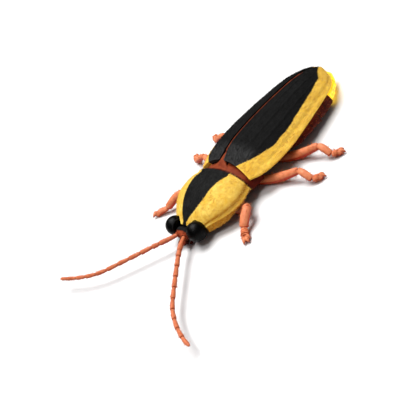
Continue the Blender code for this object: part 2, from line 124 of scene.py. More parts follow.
# A turned part: a profile of (share along, width) spun round and laid along a line
def limbPart(target, profile, sides, line, radius, flatness=1.0):
    part = bmesh.new()
    verts = [part.verts.new((width, 0, share)) for share, width in profile]
    edges = [part.edges.new(pair) for pair in zip(verts, verts[1:])]
    bmesh.ops.spin(part, geom=verts + edges, cent=(0, 0, 0), axis=(0, 0, 1),
                   angle=math.tau, steps=sides, use_merge=True)
    bmesh.ops.remove_doubles(part, verts=part.verts, dist=0.0001)
    for vert in part.verts:
        share = vert.co.z
        ahead = (line(share + lineStep) - line(share - lineStep)).normalized()
        across = ahead.cross(Vector((0, 0, 1))).normalized()
        above = across.cross(ahead)
        vert.co = line(share) + (across * vert.co.x + above * vert.co.y * flatness) * radius
    if part.calc_volume(signed=True) < 0:
        bmesh.ops.reverse_faces(part, faces=part.faces)
    joinTo(target, part)


def straightLine(start, end):
    return lambda share: start.lerp(end, share)


def stretchOf(line, start, end):  # the part of a line between two of its shares
    return lambda share: line(start + (end - start) * share)


def curvedLine(points):  # smooth line through points at even shares, straight on beyond its ends
    tracks = [[(k / (len(points) - 1), p[axis]) for k, p in enumerate(points)] for axis in range(3)]

    def line(share):
        inside = min(max(share, 0.0), 1.0)
        step = Vector([through(t, inside) for t in tracks])
        if share != inside:
            near = lineStep if inside == 0 else 1 - lineStep
            other = Vector([through(t, near) for t in tracks])
            step += (step - other) * abs(share - inside) / lineStep
        return step

    return line


# A ring of round section lying flat round the Z axis
def ringPart(radius, wall, steps):
    ring = bmesh.new()
    bmesh.ops.create_circle(ring, segments=12, radius=wall, cap_ends=False)
    bmesh.ops.translate(ring, vec=(radius, 0, 0), verts=ring.verts)
    bmesh.ops.rotate(ring, matrix=Matrix.Rotation(math.radians(90), 3, "X"), verts=ring.verts)
    bmesh.ops.spin(ring, geom=ring.verts[:] + ring.edges[:], cent=(0, 0, 0), axis=(0, 0, 1),
                   angle=math.tau, steps=steps, use_merge=True)
    return ring


# A body blunt at both ends whose half-width, top and bottom run along Y. back and belly below 1 make its
# upper and lower half squarer, and above 1 sharper.
def bluntBody(sides, rings, start, end, bluntness, halfWidth, top, bottom, back=1.0, belly=1.0, detail=None):
    def place(u, v):
        angle = math.tau * u
        y = start + (end - start) * (0.5 - 0.5 * math.cos(math.pi * v))
        size = max(0.0, 1 - abs(2 * v - 1) ** bluntness) ** (1 / bluntness)
        middle = (top(y) + bottom(y)) / 2
        reach = (top(y) - middle) * size
        point = trunkPoint(angle, halfWidth(y) * size, middle + reach, middle - reach, y,
                           back=back, belly=belly)
        return detail(point, angle) if detail else point

    return bentGrid(sides, rings, place, closed=True)


def trunkPoint(angle, halfWidth, top, bottom, y, edge=0.5, back=1.0, belly=1.0):
    widest = bottom + (top - bottom) * edge
    across, up = math.cos(angle), math.sin(angle)
    lift = (top - widest) if up >= 0 else (widest - bottom)
    across = math.copysign(abs(across) ** (back if up >= 0 else belly), across)
    return Vector((halfWidth * across, y, widest + lift * up))


def addObject(name, data):
    thing = bpy.data.objects.new(name, data)
    bpy.context.scene.collection.objects.link(thing)
    return thing


# Turns the mesh to metres, shades it smooth, and hands it to the frame.
# shade(point) is stored on every point and picks the second colour of its material, and pale(point) its
# painted highlight; tilt, for painted shade, runs from -1 where the surface looks up to 1 where it looks
# down.
def finishPiece(name, bm, material, replaced=(), shade=None, paintedHighlight=None, sharp=50):
    bm.normal_update()
    tilt = bm.verts.layers.float.new("tilt")
    for vert in bm.verts:
        vert[tilt] = -vert.normal.z
    for word, rule in (("shade", shade), ("paintedHighlight", paintedHighlight)):
        if rule:
            layer = bm.verts.layers.float.new(word)
            for vert in bm.verts:
                vert[layer] = rule(vert.co)
    bmesh.ops.scale(bm, vec=(mm, mm, mm), verts=bm.verts)
    mesh = bpy.data.meshes.new(name)
    bm.to_mesh(mesh)
    bm.free()
    mesh.shade_smooth()
    mesh.set_sharp_from_angle(angle=math.radians(sharp))
    mesh.materials.append(material)
    piece = addObject(name, mesh)
    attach(piece, "root")
    if replaced:
        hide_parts(*replaced)
    return piece


def addWall(piece, thickness, rounding):
    wall = piece.modifiers.new("wall", "SOLIDIFY")
    wall.thickness = thickness * mm
    wall.offset = -1
    wall.use_even_offset = False
    edge = piece.modifiers.new("edge", "BEVEL")
    edge.width = rounding * mm
    edge.segments = 3
    edge.limit_method = "ANGLE"
    edge.angle_limit = math.radians(50)


def nearJoints(points, reach):  # 1 at a joint, 0 beyond its reach
    return lambda co: max(1 - smoothStep((co - p).length, reach * 0.4, reach) for p in points)


# Materials

def hexColour(code):
    channels = [int(code[k:k + 2], 16) / 255 for k in (1, 3, 5)]
    return [c / 12.92 if c <= 0.04045 else ((c + 0.055) / 1.055) ** 2.4 for c in channels] + [1.0]


# Adds a node; a setting that isn't one of its sockets is a property of the node
def addNode(tree, kind, settings=None, links=None):
    node = tree.nodes.new(kind)
    for name, value in (settings or {}).items():
        if isinstance(name, int) or name in node.inputs:
            node.inputs[name].default_value = value
        else:
            setattr(node, name, value)
    for name, socket in (links or {}).items():
        tree.links.new(socket, node.inputs[name])
    return node


# What every cuticle shares: light goes deepest in red, and depth is in millimetres
chitin = {"ior": 1.56, "mottle": (0.36, 0.66), "pitRim": 0.45, "roughSpread": (-0.08, 0.1),
          "lightReach": (1.0, 0.45, 0.15), "depth": 0.25}


# Beetle cuticle: mottled colour, a painted highlight colour, a second colour where the shade attribute rises,
# painted shade on sides and undersides, fine grain and pits.
def cuticle(name, look):
    material = bpy.data.materials.new(name)
    material.use_nodes = True
    tree = material.node_tree
    shader = tree.nodes["Principled BSDF"]
    coords = addNode(tree, "ShaderNodeTexCoord").outputs["Object"]
    stretched = addNode(tree, "ShaderNodeMapping", {"Scale": (1, 1 / look.get("streak", 1), 1)},
                        {"Vector": coords}).outputs["Vector"]
    patches = addNode(tree, "ShaderNodeTexNoise",
                      {"Scale": 1 / (look["patchSize"] * mm), "Detail": 4, "Roughness": 0.6},
                      {"Vector": stretched}).outputs["Fac"]
    patchy = addNode(tree, "ShaderNodeMapRange",
                     {"From Min": chitin["mottle"][0], "From Max": chitin["mottle"][1]},
                     {"Value": patches}).outputs["Result"]
    grain = addNode(tree, "ShaderNodeTexNoise",
                    {"Scale": 1 / (look["grainSize"] * mm), "Detail": 3, "Roughness": 0.55},
                    {"Vector": stretched}).outputs["Fac"]

    colour = addNode(tree, "ShaderNodeMix",
                     {"data_type": "RGBA", 6: hexColour(look["base"]), 7: hexColour(look["patch"])},
                     {0: patchy}).outputs[2]
    # Painted highlight: a lighter colour mixed in where the pale attribute rises
    if "paintedHighlight" in look:
        highlightShare = addNode(tree, "ShaderNodeAttribute", {"attribute_name": "paintedHighlight"}).outputs["Fac"]
        colour = addNode(tree, "ShaderNodeMix", {"data_type": "RGBA", 7: hexColour(look["paintedHighlight"])},
                         {0: highlightShare, 6: colour}).outputs[2]
    if "second" in look:
        second = addNode(tree, "ShaderNodeMix",
                         {"data_type": "RGBA", 6: hexColour(look["second"]),
                          7: hexColour(look["secondPatch"])}, {0: patchy}).outputs[2]
        shade = addNode(tree, "ShaderNodeAttribute", {"attribute_name": "shade"}).outputs["Fac"]
        ragged = addNode(tree, "ShaderNodeMath",
                         {"operation": "MULTIPLY_ADD", 1: look["ragged"], 2: -look["ragged"] / 2},
                         {0: grain}).outputs["Value"]
        moved = addNode(tree, "ShaderNodeMath", {"operation": "ADD"},
                        {0: shade, 1: ragged}).outputs["Value"]
        share = addNode(tree, "ShaderNodeMapRange",
                        {"interpolation_type": "SMOOTHSTEP", "From Min": look["edge"][0],
                         "From Max": look["edge"][1]}, {"Value": moved}).outputs["Result"]
        colour = addNode(tree, "ShaderNodeMix", {"data_type": "RGBA"},
                         {0: share, 6: colour, 7: second}).outputs[2]
    # Painted shade: the colour is multiplied by the deep colour where the surface turns sideways and down
    tilt = addNode(tree, "ShaderNodeAttribute", {"attribute_name": "tilt"}).outputs["Fac"]
    under = addNode(tree, "ShaderNodeMapRange",
                    {"interpolation_type": "SMOOTHSTEP", "From Min": look["paintedShadeEdge"][0],
                     "From Max": look["paintedShadeEdge"][1]}, {"Value": tilt}).outputs["Result"]
    colour = addNode(tree, "ShaderNodeMix",
                     {"data_type": "RGBA", "blend_type": "MULTIPLY", 7: hexColour(look["paintedShade"])},
                     {0: under, 6: colour}).outputs[2]
    tree.links.new(colour, shader.inputs["Base Color"])

    pits = addNode(tree, "ShaderNodeTexVoronoi",
                   {"Scale": 1 / (look["pitSpacing"] * mm), "feature": "SMOOTH_F1"},
                   {"Vector": coords}).outputs["Distance"]
    dips = addNode(tree, "ShaderNodeMapRange",
                   {"From Min": 0.0, "From Max": chitin["pitRim"], "To Max": look["pitDepth"]},
                   {"Value": pits}).outputs["Result"]
    relief = addNode(tree, "ShaderNodeMath", {"operation": "MULTIPLY_ADD", 1: look["grainHeight"]},
                     {0: grain, 2: dips}).outputs["Value"]
    bump = addNode(tree, "ShaderNodeBump", {"Distance": mm, "Strength": 1.0},
                   {"Height": relief}).outputs["Normal"]
    tree.links.new(bump, shader.inputs["Normal"])
    rough = addNode(tree, "ShaderNodeMapRange",
                    {"To Min": look["roughness"] + chitin["roughSpread"][0],
                     "To Max": look["roughness"] + chitin["roughSpread"][1]},
                    {"Value": patches}).outputs["Result"]
    tree.links.new(rough, shader.inputs["Roughness"])
    shader.inputs["IOR"].default_value = chitin["ior"]
    shader.inputs["Specular IOR Level"].default_value = look["shine"]
    shader.inputs["Subsurface Weight"].default_value = look.get("translucent", 0.0)
    shader.inputs["Subsurface Radius"].default_value = chitin["lightReach"]
    shader.inputs["Subsurface Scale"].default_value = chitin["depth"] * mm
    return material


# Sizes of the patterns are in millimetres. The real pits are about 0.05 mm apart; all are drawn coarser here
# so that they show.

# The deep colour of each cuticle below is painted shade, multiplied into its sides and undersides
# Hardened shield cuticle, straw yellow with a soot black stripe: dull, and dimpled all over
shieldCuticle = cuticle("shieldCuticle", {
    "base": "#dcae3a", "patch": "#eccb60", "second": "#030303", "secondPatch": "#161615",
    "paintedShade": "#cba040", "paintedShadeEdge": (-0.85, -0.05),
    "patchSize": 0.55, "grainSize": 0.09, "grainHeight": 0.008, "pitSpacing": 0.2, "pitDepth": 0.005,
    "ragged": 0.16, "edge": (-0.04, 0.04), "roughness": 0.72, "shine": 0.12})

# Leathery wing-case cuticle, soot black with a straw margin, and a grey painted highlight on the black at the
# shoulder: fine lengthwise wrinkles, duller than the shield
caseCuticle = cuticle("caseCuticle", {
    "base": "#020202", "patch": "#101010", "paintedHighlight": "#2e2e2e", "second": "#e2b038", "secondPatch": "#f0c852",
    "paintedShade": "#d8a840", "paintedShadeEdge": (-0.4, 0.2), "streak": 2.2,
    "patchSize": 0.4, "grainSize": 0.07, "grainHeight": 0.007, "pitSpacing": 0.17, "pitDepth": 0.004,
    "ragged": 0.14, "edge": (-0.04, 0.04), "roughness": 0.78, "shine": 0.1})

# Thin body cuticle, chestnut red, nearly black red along the seams, and dull
bodyCuticle = cuticle("bodyCuticle", {
    "base": "#702a12", "patch": "#8c3e1e", "second": "#340702", "secondPatch": "#480e04",
    "paintedShade": "#b07454", "paintedShadeEdge": (-0.88, -0.35),
    "patchSize": 0.5, "grainSize": 0.06, "grainHeight": 0.01, "pitSpacing": 0.12, "pitDepth": 0.008,
    "ragged": 0.3, "edge": (0.1, 0.9), "roughness": 0.65, "shine": 0.08})

# Limb cuticle, coral orange, darker and redder round each joint, with painted shade below;
# slightly see-through, satin
limbCuticle = cuticle("limbCuticle", {
    "base": "#d4764c", "patch": "#e28c62", "second": "#9c3c1c", "secondPatch": "#ac4c26",
    "paintedShade": "#cc6430", "paintedShadeEdge": (-0.35, 0.2),
    "patchSize": 0.35, "grainSize": 0.05, "grainHeight": 0.008, "pitSpacing": 0.12, "pitDepth": 0.005,
    "ragged": 0.3, "edge": (0.1, 1.0), "roughness": 0.5, "shine": 0.2, "translucent": 0.03})

# Head cuticle, brown black above, brick red on the face between the feelers, dull
headCuticle = cuticle("headCuticle", {
    "base": "#050505", "patch": "#0c0b0b", "second": "#923a1c", "secondPatch": "#a64a28",
    "paintedShade": "#c0a090", "paintedShadeEdge": (-0.85, -0.05),
    "patchSize": 0.3, "grainSize": 0.05, "grainHeight": 0.006, "pitSpacing": 0.12, "pitDepth": 0.006,
    "ragged": 0.2, "edge": (-0.06, 0.06), "roughness": 0.7, "shine": 0.1})

# Eye lenses, clear chitin over black pigment: the smoothest part, without pits
eyeLens = cuticle("eyeLens", {
    "base": "#010101", "patch": "#050505", "paintedShade": "#c0c0c0", "paintedShadeEdge": (-0.85, -0.05),
    "patchSize": 0.3, "grainSize": 0.05, "grainHeight": 0.001, "pitSpacing": 0.1, "pitDepth": 0.0,
    "roughness": 0.28, "shine": 0.06})

# Lantern skin: thin clear cuticle over grains of light tissue about 0.2 mm wide, lit from within
lantern = {"grain": 0.2, "grainReach": 0.7, "grainLight": (1.0, 0.4), "grainHeight": 0.02, "relief": 0.8,
           "cloud": 0.8, "cloudReach": (0.3, 0.7), "cloudLight": (0.75, 1.0), "seamLight": (1.0, 0.25),
           "glow": ("#d88400", "#ffee20"), "skin": ("#a87c18", "#c8a428"), "strength": 1.3, "roughness": 0.35}


def lanternSkin(look):
    material = bpy.data.materials.new("lanternSkin")
    material.use_nodes = True
    tree = material.node_tree
    shader = tree.nodes["Principled BSDF"]
    coords = addNode(tree, "ShaderNodeTexCoord").outputs["Object"]
    cells = addNode(tree, "ShaderNodeTexVoronoi", {"Scale": 1 / (look["grain"] * mm), "feature": "F1"},
                    {"Vector": coords}).outputs["Distance"]
    clouds = addNode(tree, "ShaderNodeTexNoise", {"Scale": 1 / (look["cloud"] * mm), "Detail": 3},
                     {"Vector": coords}).outputs["Fac"]
    shade = addNode(tree, "ShaderNodeAttribute", {"attribute_name": "shade"}).outputs["Fac"]
    grains = addNode(tree, "ShaderNodeMapRange",
                     {"From Max": look["grainReach"], "To Min": look["grainLight"][0],
                      "To Max": look["grainLight"][1]}, {"Value": cells}).outputs["Result"]
    cloudy = addNode(tree, "ShaderNodeMapRange",
                     {"From Min": look["cloudReach"][0], "From Max": look["cloudReach"][1],
                      "To Min": look["cloudLight"][0], "To Max": look["cloudLight"][1]},
                     {"Value": clouds}).outputs["Result"]
    seam = addNode(tree, "ShaderNodeMapRange",
                   {"To Min": look["seamLight"][0], "To Max": look["seamLight"][1]},
                   {"Value": shade}).outputs["Result"]
    light = addNode(tree, "ShaderNodeMath", {"operation": "MULTIPLY"},
                    {0: grains, 1: cloudy}).outputs["Value"]
    light = addNode(tree, "ShaderNodeMath", {"operation": "MULTIPLY"},
                    {0: light, 1: seam}).outputs["Value"]
    for colours, socket in (("skin", "Base Color"), ("glow", "Emission Color")):
        dim, bright = look[colours]
        mixed = addNode(tree, "ShaderNodeMix", {"data_type": "RGBA", 6: hexColour(dim), 7: hexColour(bright)},
                        {0: light}).outputs[2]
        tree.links.new(mixed, shader.inputs[socket])
    relief = addNode(tree, "ShaderNodeBump",
                     {"Distance": look["grainHeight"] * mm, "Strength": look["relief"]},
                     {"Height": cells}).outputs["Normal"]
    tree.links.new(relief, shader.inputs["Normal"])
    shader.inputs["Emission Strength"].default_value = look["strength"]
    shader.inputs["Roughness"].default_value = look["roughness"]
    shader.inputs["IOR"].default_value = chitin["ior"]
    return material


lightSkin = lanternSkin(lantern)


# Fine hairs: two colours mixed in blots 0.3 mm wide, hardly shiny
hairLook = {"blot": 0.3, "roughness": 0.6, "shine": 0.1}


def hairMaterial(name, dark, light):
    material = bpy.data.materials.new(name)
    material.use_nodes = True
    tree = material.node_tree
    shader = tree.nodes["Principled BSDF"]
    coords = addNode(tree, "ShaderNodeTexCoord").outputs["Object"]
    mixed = addNode(tree, "ShaderNodeTexNoise", {"Scale": 1 / (hairLook["blot"] * mm)},
                    {"Vector": coords}).outputs["Fac"]
    colour = addNode(tree, "ShaderNodeMix", {"data_type": "RGBA", 6: hexColour(dark), 7: hexColour(light)},
                     {0: mixed}).outputs[2]
    tree.links.new(colour, shader.inputs["Base Color"])
    shader.inputs["Roughness"].default_value = hairLook["roughness"]
    shader.inputs["Specular IOR Level"].default_value = hairLook["shine"]
    return material


goldHair = hairMaterial("goldHair", "#d8a83c", "#efcf70")
sootHair = hairMaterial("sootHair", "#060606", "#161513")
rustHair = hairMaterial("rustHair", "#a04a22", "#dc8a58")
print("materials made")


# Growing hairs

# A map for baking: the piece under the hairs is unrolled round its longest axis, and each hair is a small
# patch at its root's place there.
def layHairsFlat(hairMesh, roots):
    patch, border = 0.003, 0.01
    room = 1 - 3 * border
    low = [min(root[axis] for root in roots) for axis in range(3)]
    size = [max(root[axis] for root in roots) - low[axis] for axis in range(3)]
    axis = size.index(max(size))
    across, up = [k for k in range(3) if k != axis]
    places = []
    for root in roots:
        turn = math.atan2(root[across] - low[across] - size[across] / 2, root[up] - low[up] - size[up] / 2)
        share = (root[axis] - low[axis]) / size[axis]
        places.append((border + room * (turn / math.tau + 0.5), border + room * share))
    each = len(hairMesh.vertices) // len(roots)
    flat = hairMesh.uv_layers.new(name="OFBake")
    for loop in hairMesh.loops:
        hair, corner = divmod(loop.vertex_index, each)
        u, v = places[hair]
        flat.data[loop.index].uv = (u + patch * (corner % 4) / 4, v + patch * corner / each)


# Each point of a hair: share of its length, how far it bends up there, and its share of the thickness
strand = {"points": [(0, 0, 1), (0.5, 0.62, 0.75), (1, 0.9, 0.12)], "lengths": (0.65, 1.15), "lowestZ": 0.01,
          "tries": 6}


# Short hairs on a piece, leaning the way it lays them; keep(point) in millimetres picks where they grow
def growHairs(name, host, material, look, keep=None):
    picker = random.Random(look["seed"])
    mesh = host.data
    mesh.calc_loop_triangles()
    corners = [[mesh.vertices[i].co.copy() for i in t.vertices] for t in mesh.loop_triangles]
    normals = [t.normal.copy() for t in mesh.loop_triangles]
    sums, total = [], 0.0
    for t in mesh.loop_triangles:
        total += t.area
        sums.append(total)
    curve = bpy.data.curves.new(name, "CURVE")
    curve.dimensions = "3D"
    curve.bevel_depth = look["thickness"] / 2 * mm
    curve.bevel_resolution = 0
    curve.use_fill_caps = True
    lay = Vector(look["lay"])
    roots = []
    for attempt in range(look["count"] * strand["tries"]):
        if len(roots) == look["count"]:
            break
        k = bisect.bisect_left(sums, picker.random() * total)
        a, b = picker.random(), picker.random()
        if a + b > 1:
            a, b = 1 - a, 1 - b
        p, q, r = corners[k]
        root = p + (q - p) * a + (r - p) * b
        if keep and not keep(root / mm):
            continue
        normal = normals[k]
        flat = lay - normal * lay.dot(normal)
        jitter = Vector([picker.uniform(-1, 1) for _ in range(3)]) * look["tousle"]
        along = (flat + jitter).normalized()
        length = look["length"] * picker.uniform(*strand["lengths"]) * mm
        spline = curve.splines.new("POLY")
        spline.points.add(len(strand["points"]) - 1)
        rise = normal * look["lift"]
        for point, (share, bend, width) in zip(spline.points, strand["points"]):
            place = root + (along * share + rise * bend) * length
            place.z = max(place.z, strand["lowestZ"] * mm)
            point.co = (*place, 1)
            point.radius = width
        roots.append(root)
    helper = bpy.data.objects.new(name + "Curve", curve)
    hairMesh = bpy.data.meshes.new_from_object(helper)
    bpy.data.objects.remove(helper)
    hairMesh.name = name
    hairMesh.materials.clear()
    hairMesh.materials.append(material)
    layHairsFlat(hairMesh, roots)
    piece = addObject(name, hairMesh)
    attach(piece, "root")


# Neck shield, laid out by y in millimetres or by its share from front to rear. wrap is the angle down each
# side in degrees, and tuck is how far the turned-in side reaches down. A bead or groove is (height, middle,
# width) here and below.
shield = {
    "rearY": -0.4, "lobeY": -4.78, "notchY": -4.3, "cornerY": -4.36,
    "wrap": [(0, 122), (0.32, 122), (0.52, 101), (1, 93)],
    "tuck": [(0, 1.2), (0.32, 1.2), (0.52, 0.75), (1, 0.5)],
    "sweep": 0.12, "lobeTurn": (0.12, 0.3), "cornerTurn": (0.3, 0.5), "sideTurn": (0.5, 1.0),
    "widestZ": [(-4.7, 1.02), (-4.0, 1.1), (-3.2, 1.16), (-2.4, 1.2)],
    "halfWidth": [(-4.7, 1.52), (-4.25, 1.84), (-3.8, 2.25), (-3.2, 2.78), (-2.5, 3.2), (-1.7, 3.32),
                  (-1.0, 3.12), (-0.4, 2.9)],
    "top": [(-4.8, 1.4), (-4.7, 1.49), (-4.0, 2.0), (-3.0, 2.46), (-2.1, 2.71), (-1.2, 2.78), (-0.4, 2.7)],
    "stripe": [(-4.6, 0.2), (-4.3, 0.42), (-3.8, 0.78), (-3.2, 1.08), (-2.7, 1.22), (-2.0, 1.34),
               (-0.6, 1.6), (-0.4, 1.65)],
    "middleLine": [(-0.05, 0, 0.09)], "lineFades": (-4.3, -3.6, -0.9, -0.55),
    "dents": [(-0.09, 1.25, 0.45)], "dentsY": (-0.95, 0.3),
    "rearBeads": [(-0.05, -0.66, 0.09), (0.03, -0.47, 0.07)], "sideBeads": [(0.06, 89, 3), (-0.05, 79, 5)],
    "ripple": (0.018, 0.9), "stripeWobble": (0.05, 0.7), "stripeZ": 1.3,
    "wall": 0.16, "rounding": 0.05}


def shieldPlace(u, v):
    s = shield
    turn = math.radians(through(s["wrap"], v)) * (2 * u - 1)
    reach = abs(2 * u - 1)
    front = s["lobeY"] + (s["notchY"] - s["lobeY"]) * smoothStep(reach, *s["lobeTurn"])
    front += (s["cornerY"] - s["notchY"]) * smoothStep(reach, *s["cornerTurn"])
    front += s["sweep"] * smoothStep(reach, *s["sideTurn"])
    y = front + (s["rearY"] - front) * v
    halfWidth = through(s["halfWidth"], y)
    widest = through(s["widestZ"], y)
    height = through(s["top"], y) - widest if abs(turn) < math.pi / 2 else through(s["tuck"], v)
    point = Vector((halfWidth * math.sin(turn), y, widest + height * math.cos(turn)))
    # middle line, dents at the base, a bead round the rear edge and along the side
    fades = s["lineFades"]
    relief = rises(point.x, s["middleLine"]) * smoothStep(y, *fades[:2]) * (1 - smoothStep(y, *fades[2:]))
    relief += rises(abs(point.x), s["dents"]) * hump(y, *s["dentsY"]) + rises(y, s["rearBeads"])
    relief += rises(abs(math.degrees(turn)), s["sideBeads"])
    relief += s["ripple"][0] * swell(point, s["ripple"][1])
    out = Vector((math.sin(turn), 0, math.cos(turn)))
    return point + out * relief


def shieldShade(co):  # millimetres inside the black stripe
    height, size = shield["stripeWobble"]
    inside = through(shield["stripe"], co.y) - abs(co.x) + height * swell((co.x, co.y, 3), size)
    return inside if co.z > shield["stripeZ"] else -1.0


bm = bentGrid(168, 80, shieldPlace)
faceAwayFrom(bm, (0, -2, 1.2))
neckShield = finishPiece("neckShield", bm, shieldCuticle, ["pronotum"], shieldShade)
addWall(neckShield, shield["wall"], shield["rounding"])
print("neck shield made")

# Wing cases. black is how far out the black field reaches at each y; ribs, beads and gutter lie at shares of
# the way from the seam to the margin.
case = {
    "frontY": 0.48, "endY": 11.75, "roundness": 2.1, "rowSpread": 1.15, "wall": 0.34, "rounding": 0.1,
    "halfWidth": [(0.0, 2.85), (0.6, 3.28), (1.4, 3.62), (2.6, 3.82), (4.4, 3.74), (6.4, 3.38), (8.6, 2.9),
                  (10.0, 2.48), (10.8, 1.92), (11.3, 1.4), (11.6, 1.0), (11.75, 0.74)],
    "sutureX": [(0.4, 0.28), (1.1, 0.2), (1.9, 0.14), (5.0, 0.15), (8.0, 0.16), (10.4, 0.17), (11.2, 0.22),
                (11.75, 0.38)],
    "sutureZ": [(0.0, 2.62), (0.7, 2.84), (1.4, 3.08), (2.4, 3.24), (4.8, 3.28), (7.5, 3.14), (9.4, 2.93),
                (10.7, 2.6), (11.4, 2.28), (11.75, 2.04)],
    "marginZ": [(0.0, 1.72), (1.0, 1.62), (3.0, 1.56), (7.0, 1.5), (10.0, 1.42), (11.75, 1.34)],
    "black": [(0.3, 1.66), (1.04, 2.38), (2.04, 2.82), (3.08, 3.06), (4.02, 3.03), (5.03, 2.92), (6.15, 2.69),
              (7.0, 2.49), (8.15, 2.23), (9.19, 1.92), (10.12, 1.6), (10.5, 1.26), (10.85, 0.94),
              (11.2, 0.66), (11.5, 0.42), (11.75, 0.3)],
    "ribs": [(0.035, middle, 0.022) for middle in (0.2, 0.42, 0.62)], "ribFades": (1.0, 2.5, 9.5, 11.2),
    "seamBeads": [(0.03, 0.02, 0.02), (-0.03, 0.06, 0.02)], "gutter": [(-0.05, 0.9, 0.035)],
    "gutterFade": (0.6, 1.6), "shoulder": [(0.05, 0.62, 0.2)], "shoulderY": (0.9, 0.5), "ripple": (0.02, 0.8),
    "blackWobble": (0.06, 0.9), "highlightY": (1.3, 2.2), "highlightX": 2.6, "highlightFade": 0.4}


def casePlace(side):
    def place(u, v):
        front = case["frontY"] * (1 - u ** 1.5)
        y = front + (case["endY"] - front) * math.sin(0.5 * math.pi * v) ** case["rowSpread"]
        inner, outer = through(case["sutureX"], y), through(case["halfWidth"], y)
        suture, margin = through(case["sutureZ"], y), through(case["marginZ"], y)
        x = inner + (outer - inner) * u
        z = suture - (suture - margin) * u ** case["roundness"]
        # three faint ribs, a bead beside the seam, a gutter inside the margin and a low shoulder hump
        fades = case["ribFades"]
        relief = rises(u, case["ribs"]) * smoothStep(y, *fades[:2]) * (1 - smoothStep(y, *fades[2:]))
        relief += rises(u, case["seamBeads"]) + rises(u, case["gutter"]) * smoothStep(y, *case["gutterFade"])
        relief += rises(u, case["shoulder"]) * hump(y, *case["shoulderY"])
        relief += case["ripple"][0] * swell((x * side, y * 0.6, z), case["ripple"][1])
        drop = (suture - margin) / (outer - inner)
        slope = math.atan(case["roundness"] * drop * u ** (case["roundness"] - 1))
        x += relief * math.sin(slope)
        z += relief * math.cos(slope)
        return Vector((x * side, y, z))

    return place


def caseShade(co):  # millimetres outside the black
    height, size = case["blackWobble"]
    return abs(co.x) - through(case["black"], co.y) + height * swell((co.x, co.y, 9), size)


def caseHighlight(co):  # 1 on the black of the shoulder, where a grey highlight is painted
    inside = smoothStep(case["highlightX"] - abs(co.x), 0, case["highlightFade"])
    return (1 - smoothStep(co.y, *case["highlightY"])) * inside


wingCases = {}
for word, side in (("left", 1), ("right", -1)):
    bm = bentGrid(72, 150, casePlace(side))
    faceAwayFrom(bm, (1.5 * side, 5, 0))
    piece = finishPiece("wingCase_" + word, bm, caseCuticle, ["elytron_" + word], caseShade,
                        caseHighlight)
    addWall(piece, case["wall"], case["rounding"])
    wingCases[word] = piece
print("wing cases made")

# Head
head = {
    "frontY": -5.55, "rearY": -3.75, "bluntness": 3.0,
    "halfWidth": [(-5.55, 0.5), (-5.25, 0.9), (-4.8, 1.05), (-4.3, 1.0), (-3.75, 0.6)],
    "top": [(-5.55, 1.2), (-5.2, 1.4), (-4.95, 1.36), (-4.7, 1.2), (-4.3, 1.12), (-3.75, 0.95)],
    "bottom": [(-5.55, 0.62), (-5.2, 0.42), (-4.7, 0.36), (-4.2, 0.5), (-3.75, 0.66)],
    "groove": [(-0.09, 0, 0.16)], "grooveFade": (4.9, 5.35), "brows": [(0.05, 0.34, 0.2)],
    "browsY": (-5.15, 0.25), "crease": [(-0.05, -4.75, 0.12)], "ripple": (0.012, 0.3),
    "faceY": -5.28, "faceWobble": (0.1, 0.3), "chinY": -5.35, "chinZ": 0.35,
    "eyeRadius": 0.72, "eyePlace": (1.34, -4.86, 1.14), "eyeCutX": 0.84,
    "cornerCut": 33.3, "facetInset": 0.01, "facetDome": 0.004, "rimRadius": 0.06, "rimX": 0.86}


def headDetail(point, angle):
    up = max(0.0, math.sin(angle))
    relief = rises(point.x, head["groove"]) * up * smoothStep(-point.y, *head["grooveFade"])
    relief += rises(abs(point.x), head["brows"]) * up * hump(point.y, *head["browsY"])
    relief += rises(point.y, head["crease"]) * up
    relief += head["ripple"][0] * swell(point, head["ripple"][1])
    return point + Vector((math.cos(angle), 0, math.sin(angle))) * relief


def headShade(co):  # millimetres inside the brick red face
    if co.z <= head["chinZ"]:
        return head["chinY"] - co.y
    height, size = head["faceWobble"]
    return head["faceY"] - co.y + height * swell(co, size)


bm = bluntBody(64, 48, head["frontY"], head["rearY"], head["bluntness"], curveOf(head["halfWidth"]),
               curveOf(head["top"]), curveOf(head["bottom"]), detail=headDetail)
headCapsule = finishPiece("headCapsule", bm, headCuticle, ["head"], headShade)

# Black skin of the neck, filling the shield's front opening behind the eyes: partly the real neck, partly a
# dark sheet of painted shade for that opening
neck = {"frontY": -4.6, "rearY": -3.1, "bottomZ": 0.66, "bluntness": 3.5,
        "halfWidth": [(-4.6, 1.1), (-4.2, 1.4), (-3.6, 1.85), (-3.1, 2.1)],
        "top": [(-4.6, 1.3), (-4.2, 1.6), (-3.6, 1.92), (-3.1, 2.05)], "foldHeight": 0.03, "foldRate": 22}


def neckDetail(point, angle):  # folds round the neck
    fold = neck["foldHeight"] * math.sin(point.y * neck["foldRate"])
    return point + Vector((math.cos(angle), 0, math.sin(angle))) * fold


bm = bluntBody(48, 24, neck["frontY"], neck["rearY"], neck["bluntness"], curveOf(neck["halfWidth"]),
               curveOf(neck["top"]), lambda y: neck["bottomZ"], detail=neckDetail)
finishPiece("neckSkin", bm, headCuticle, (), lambda co: -1.0)

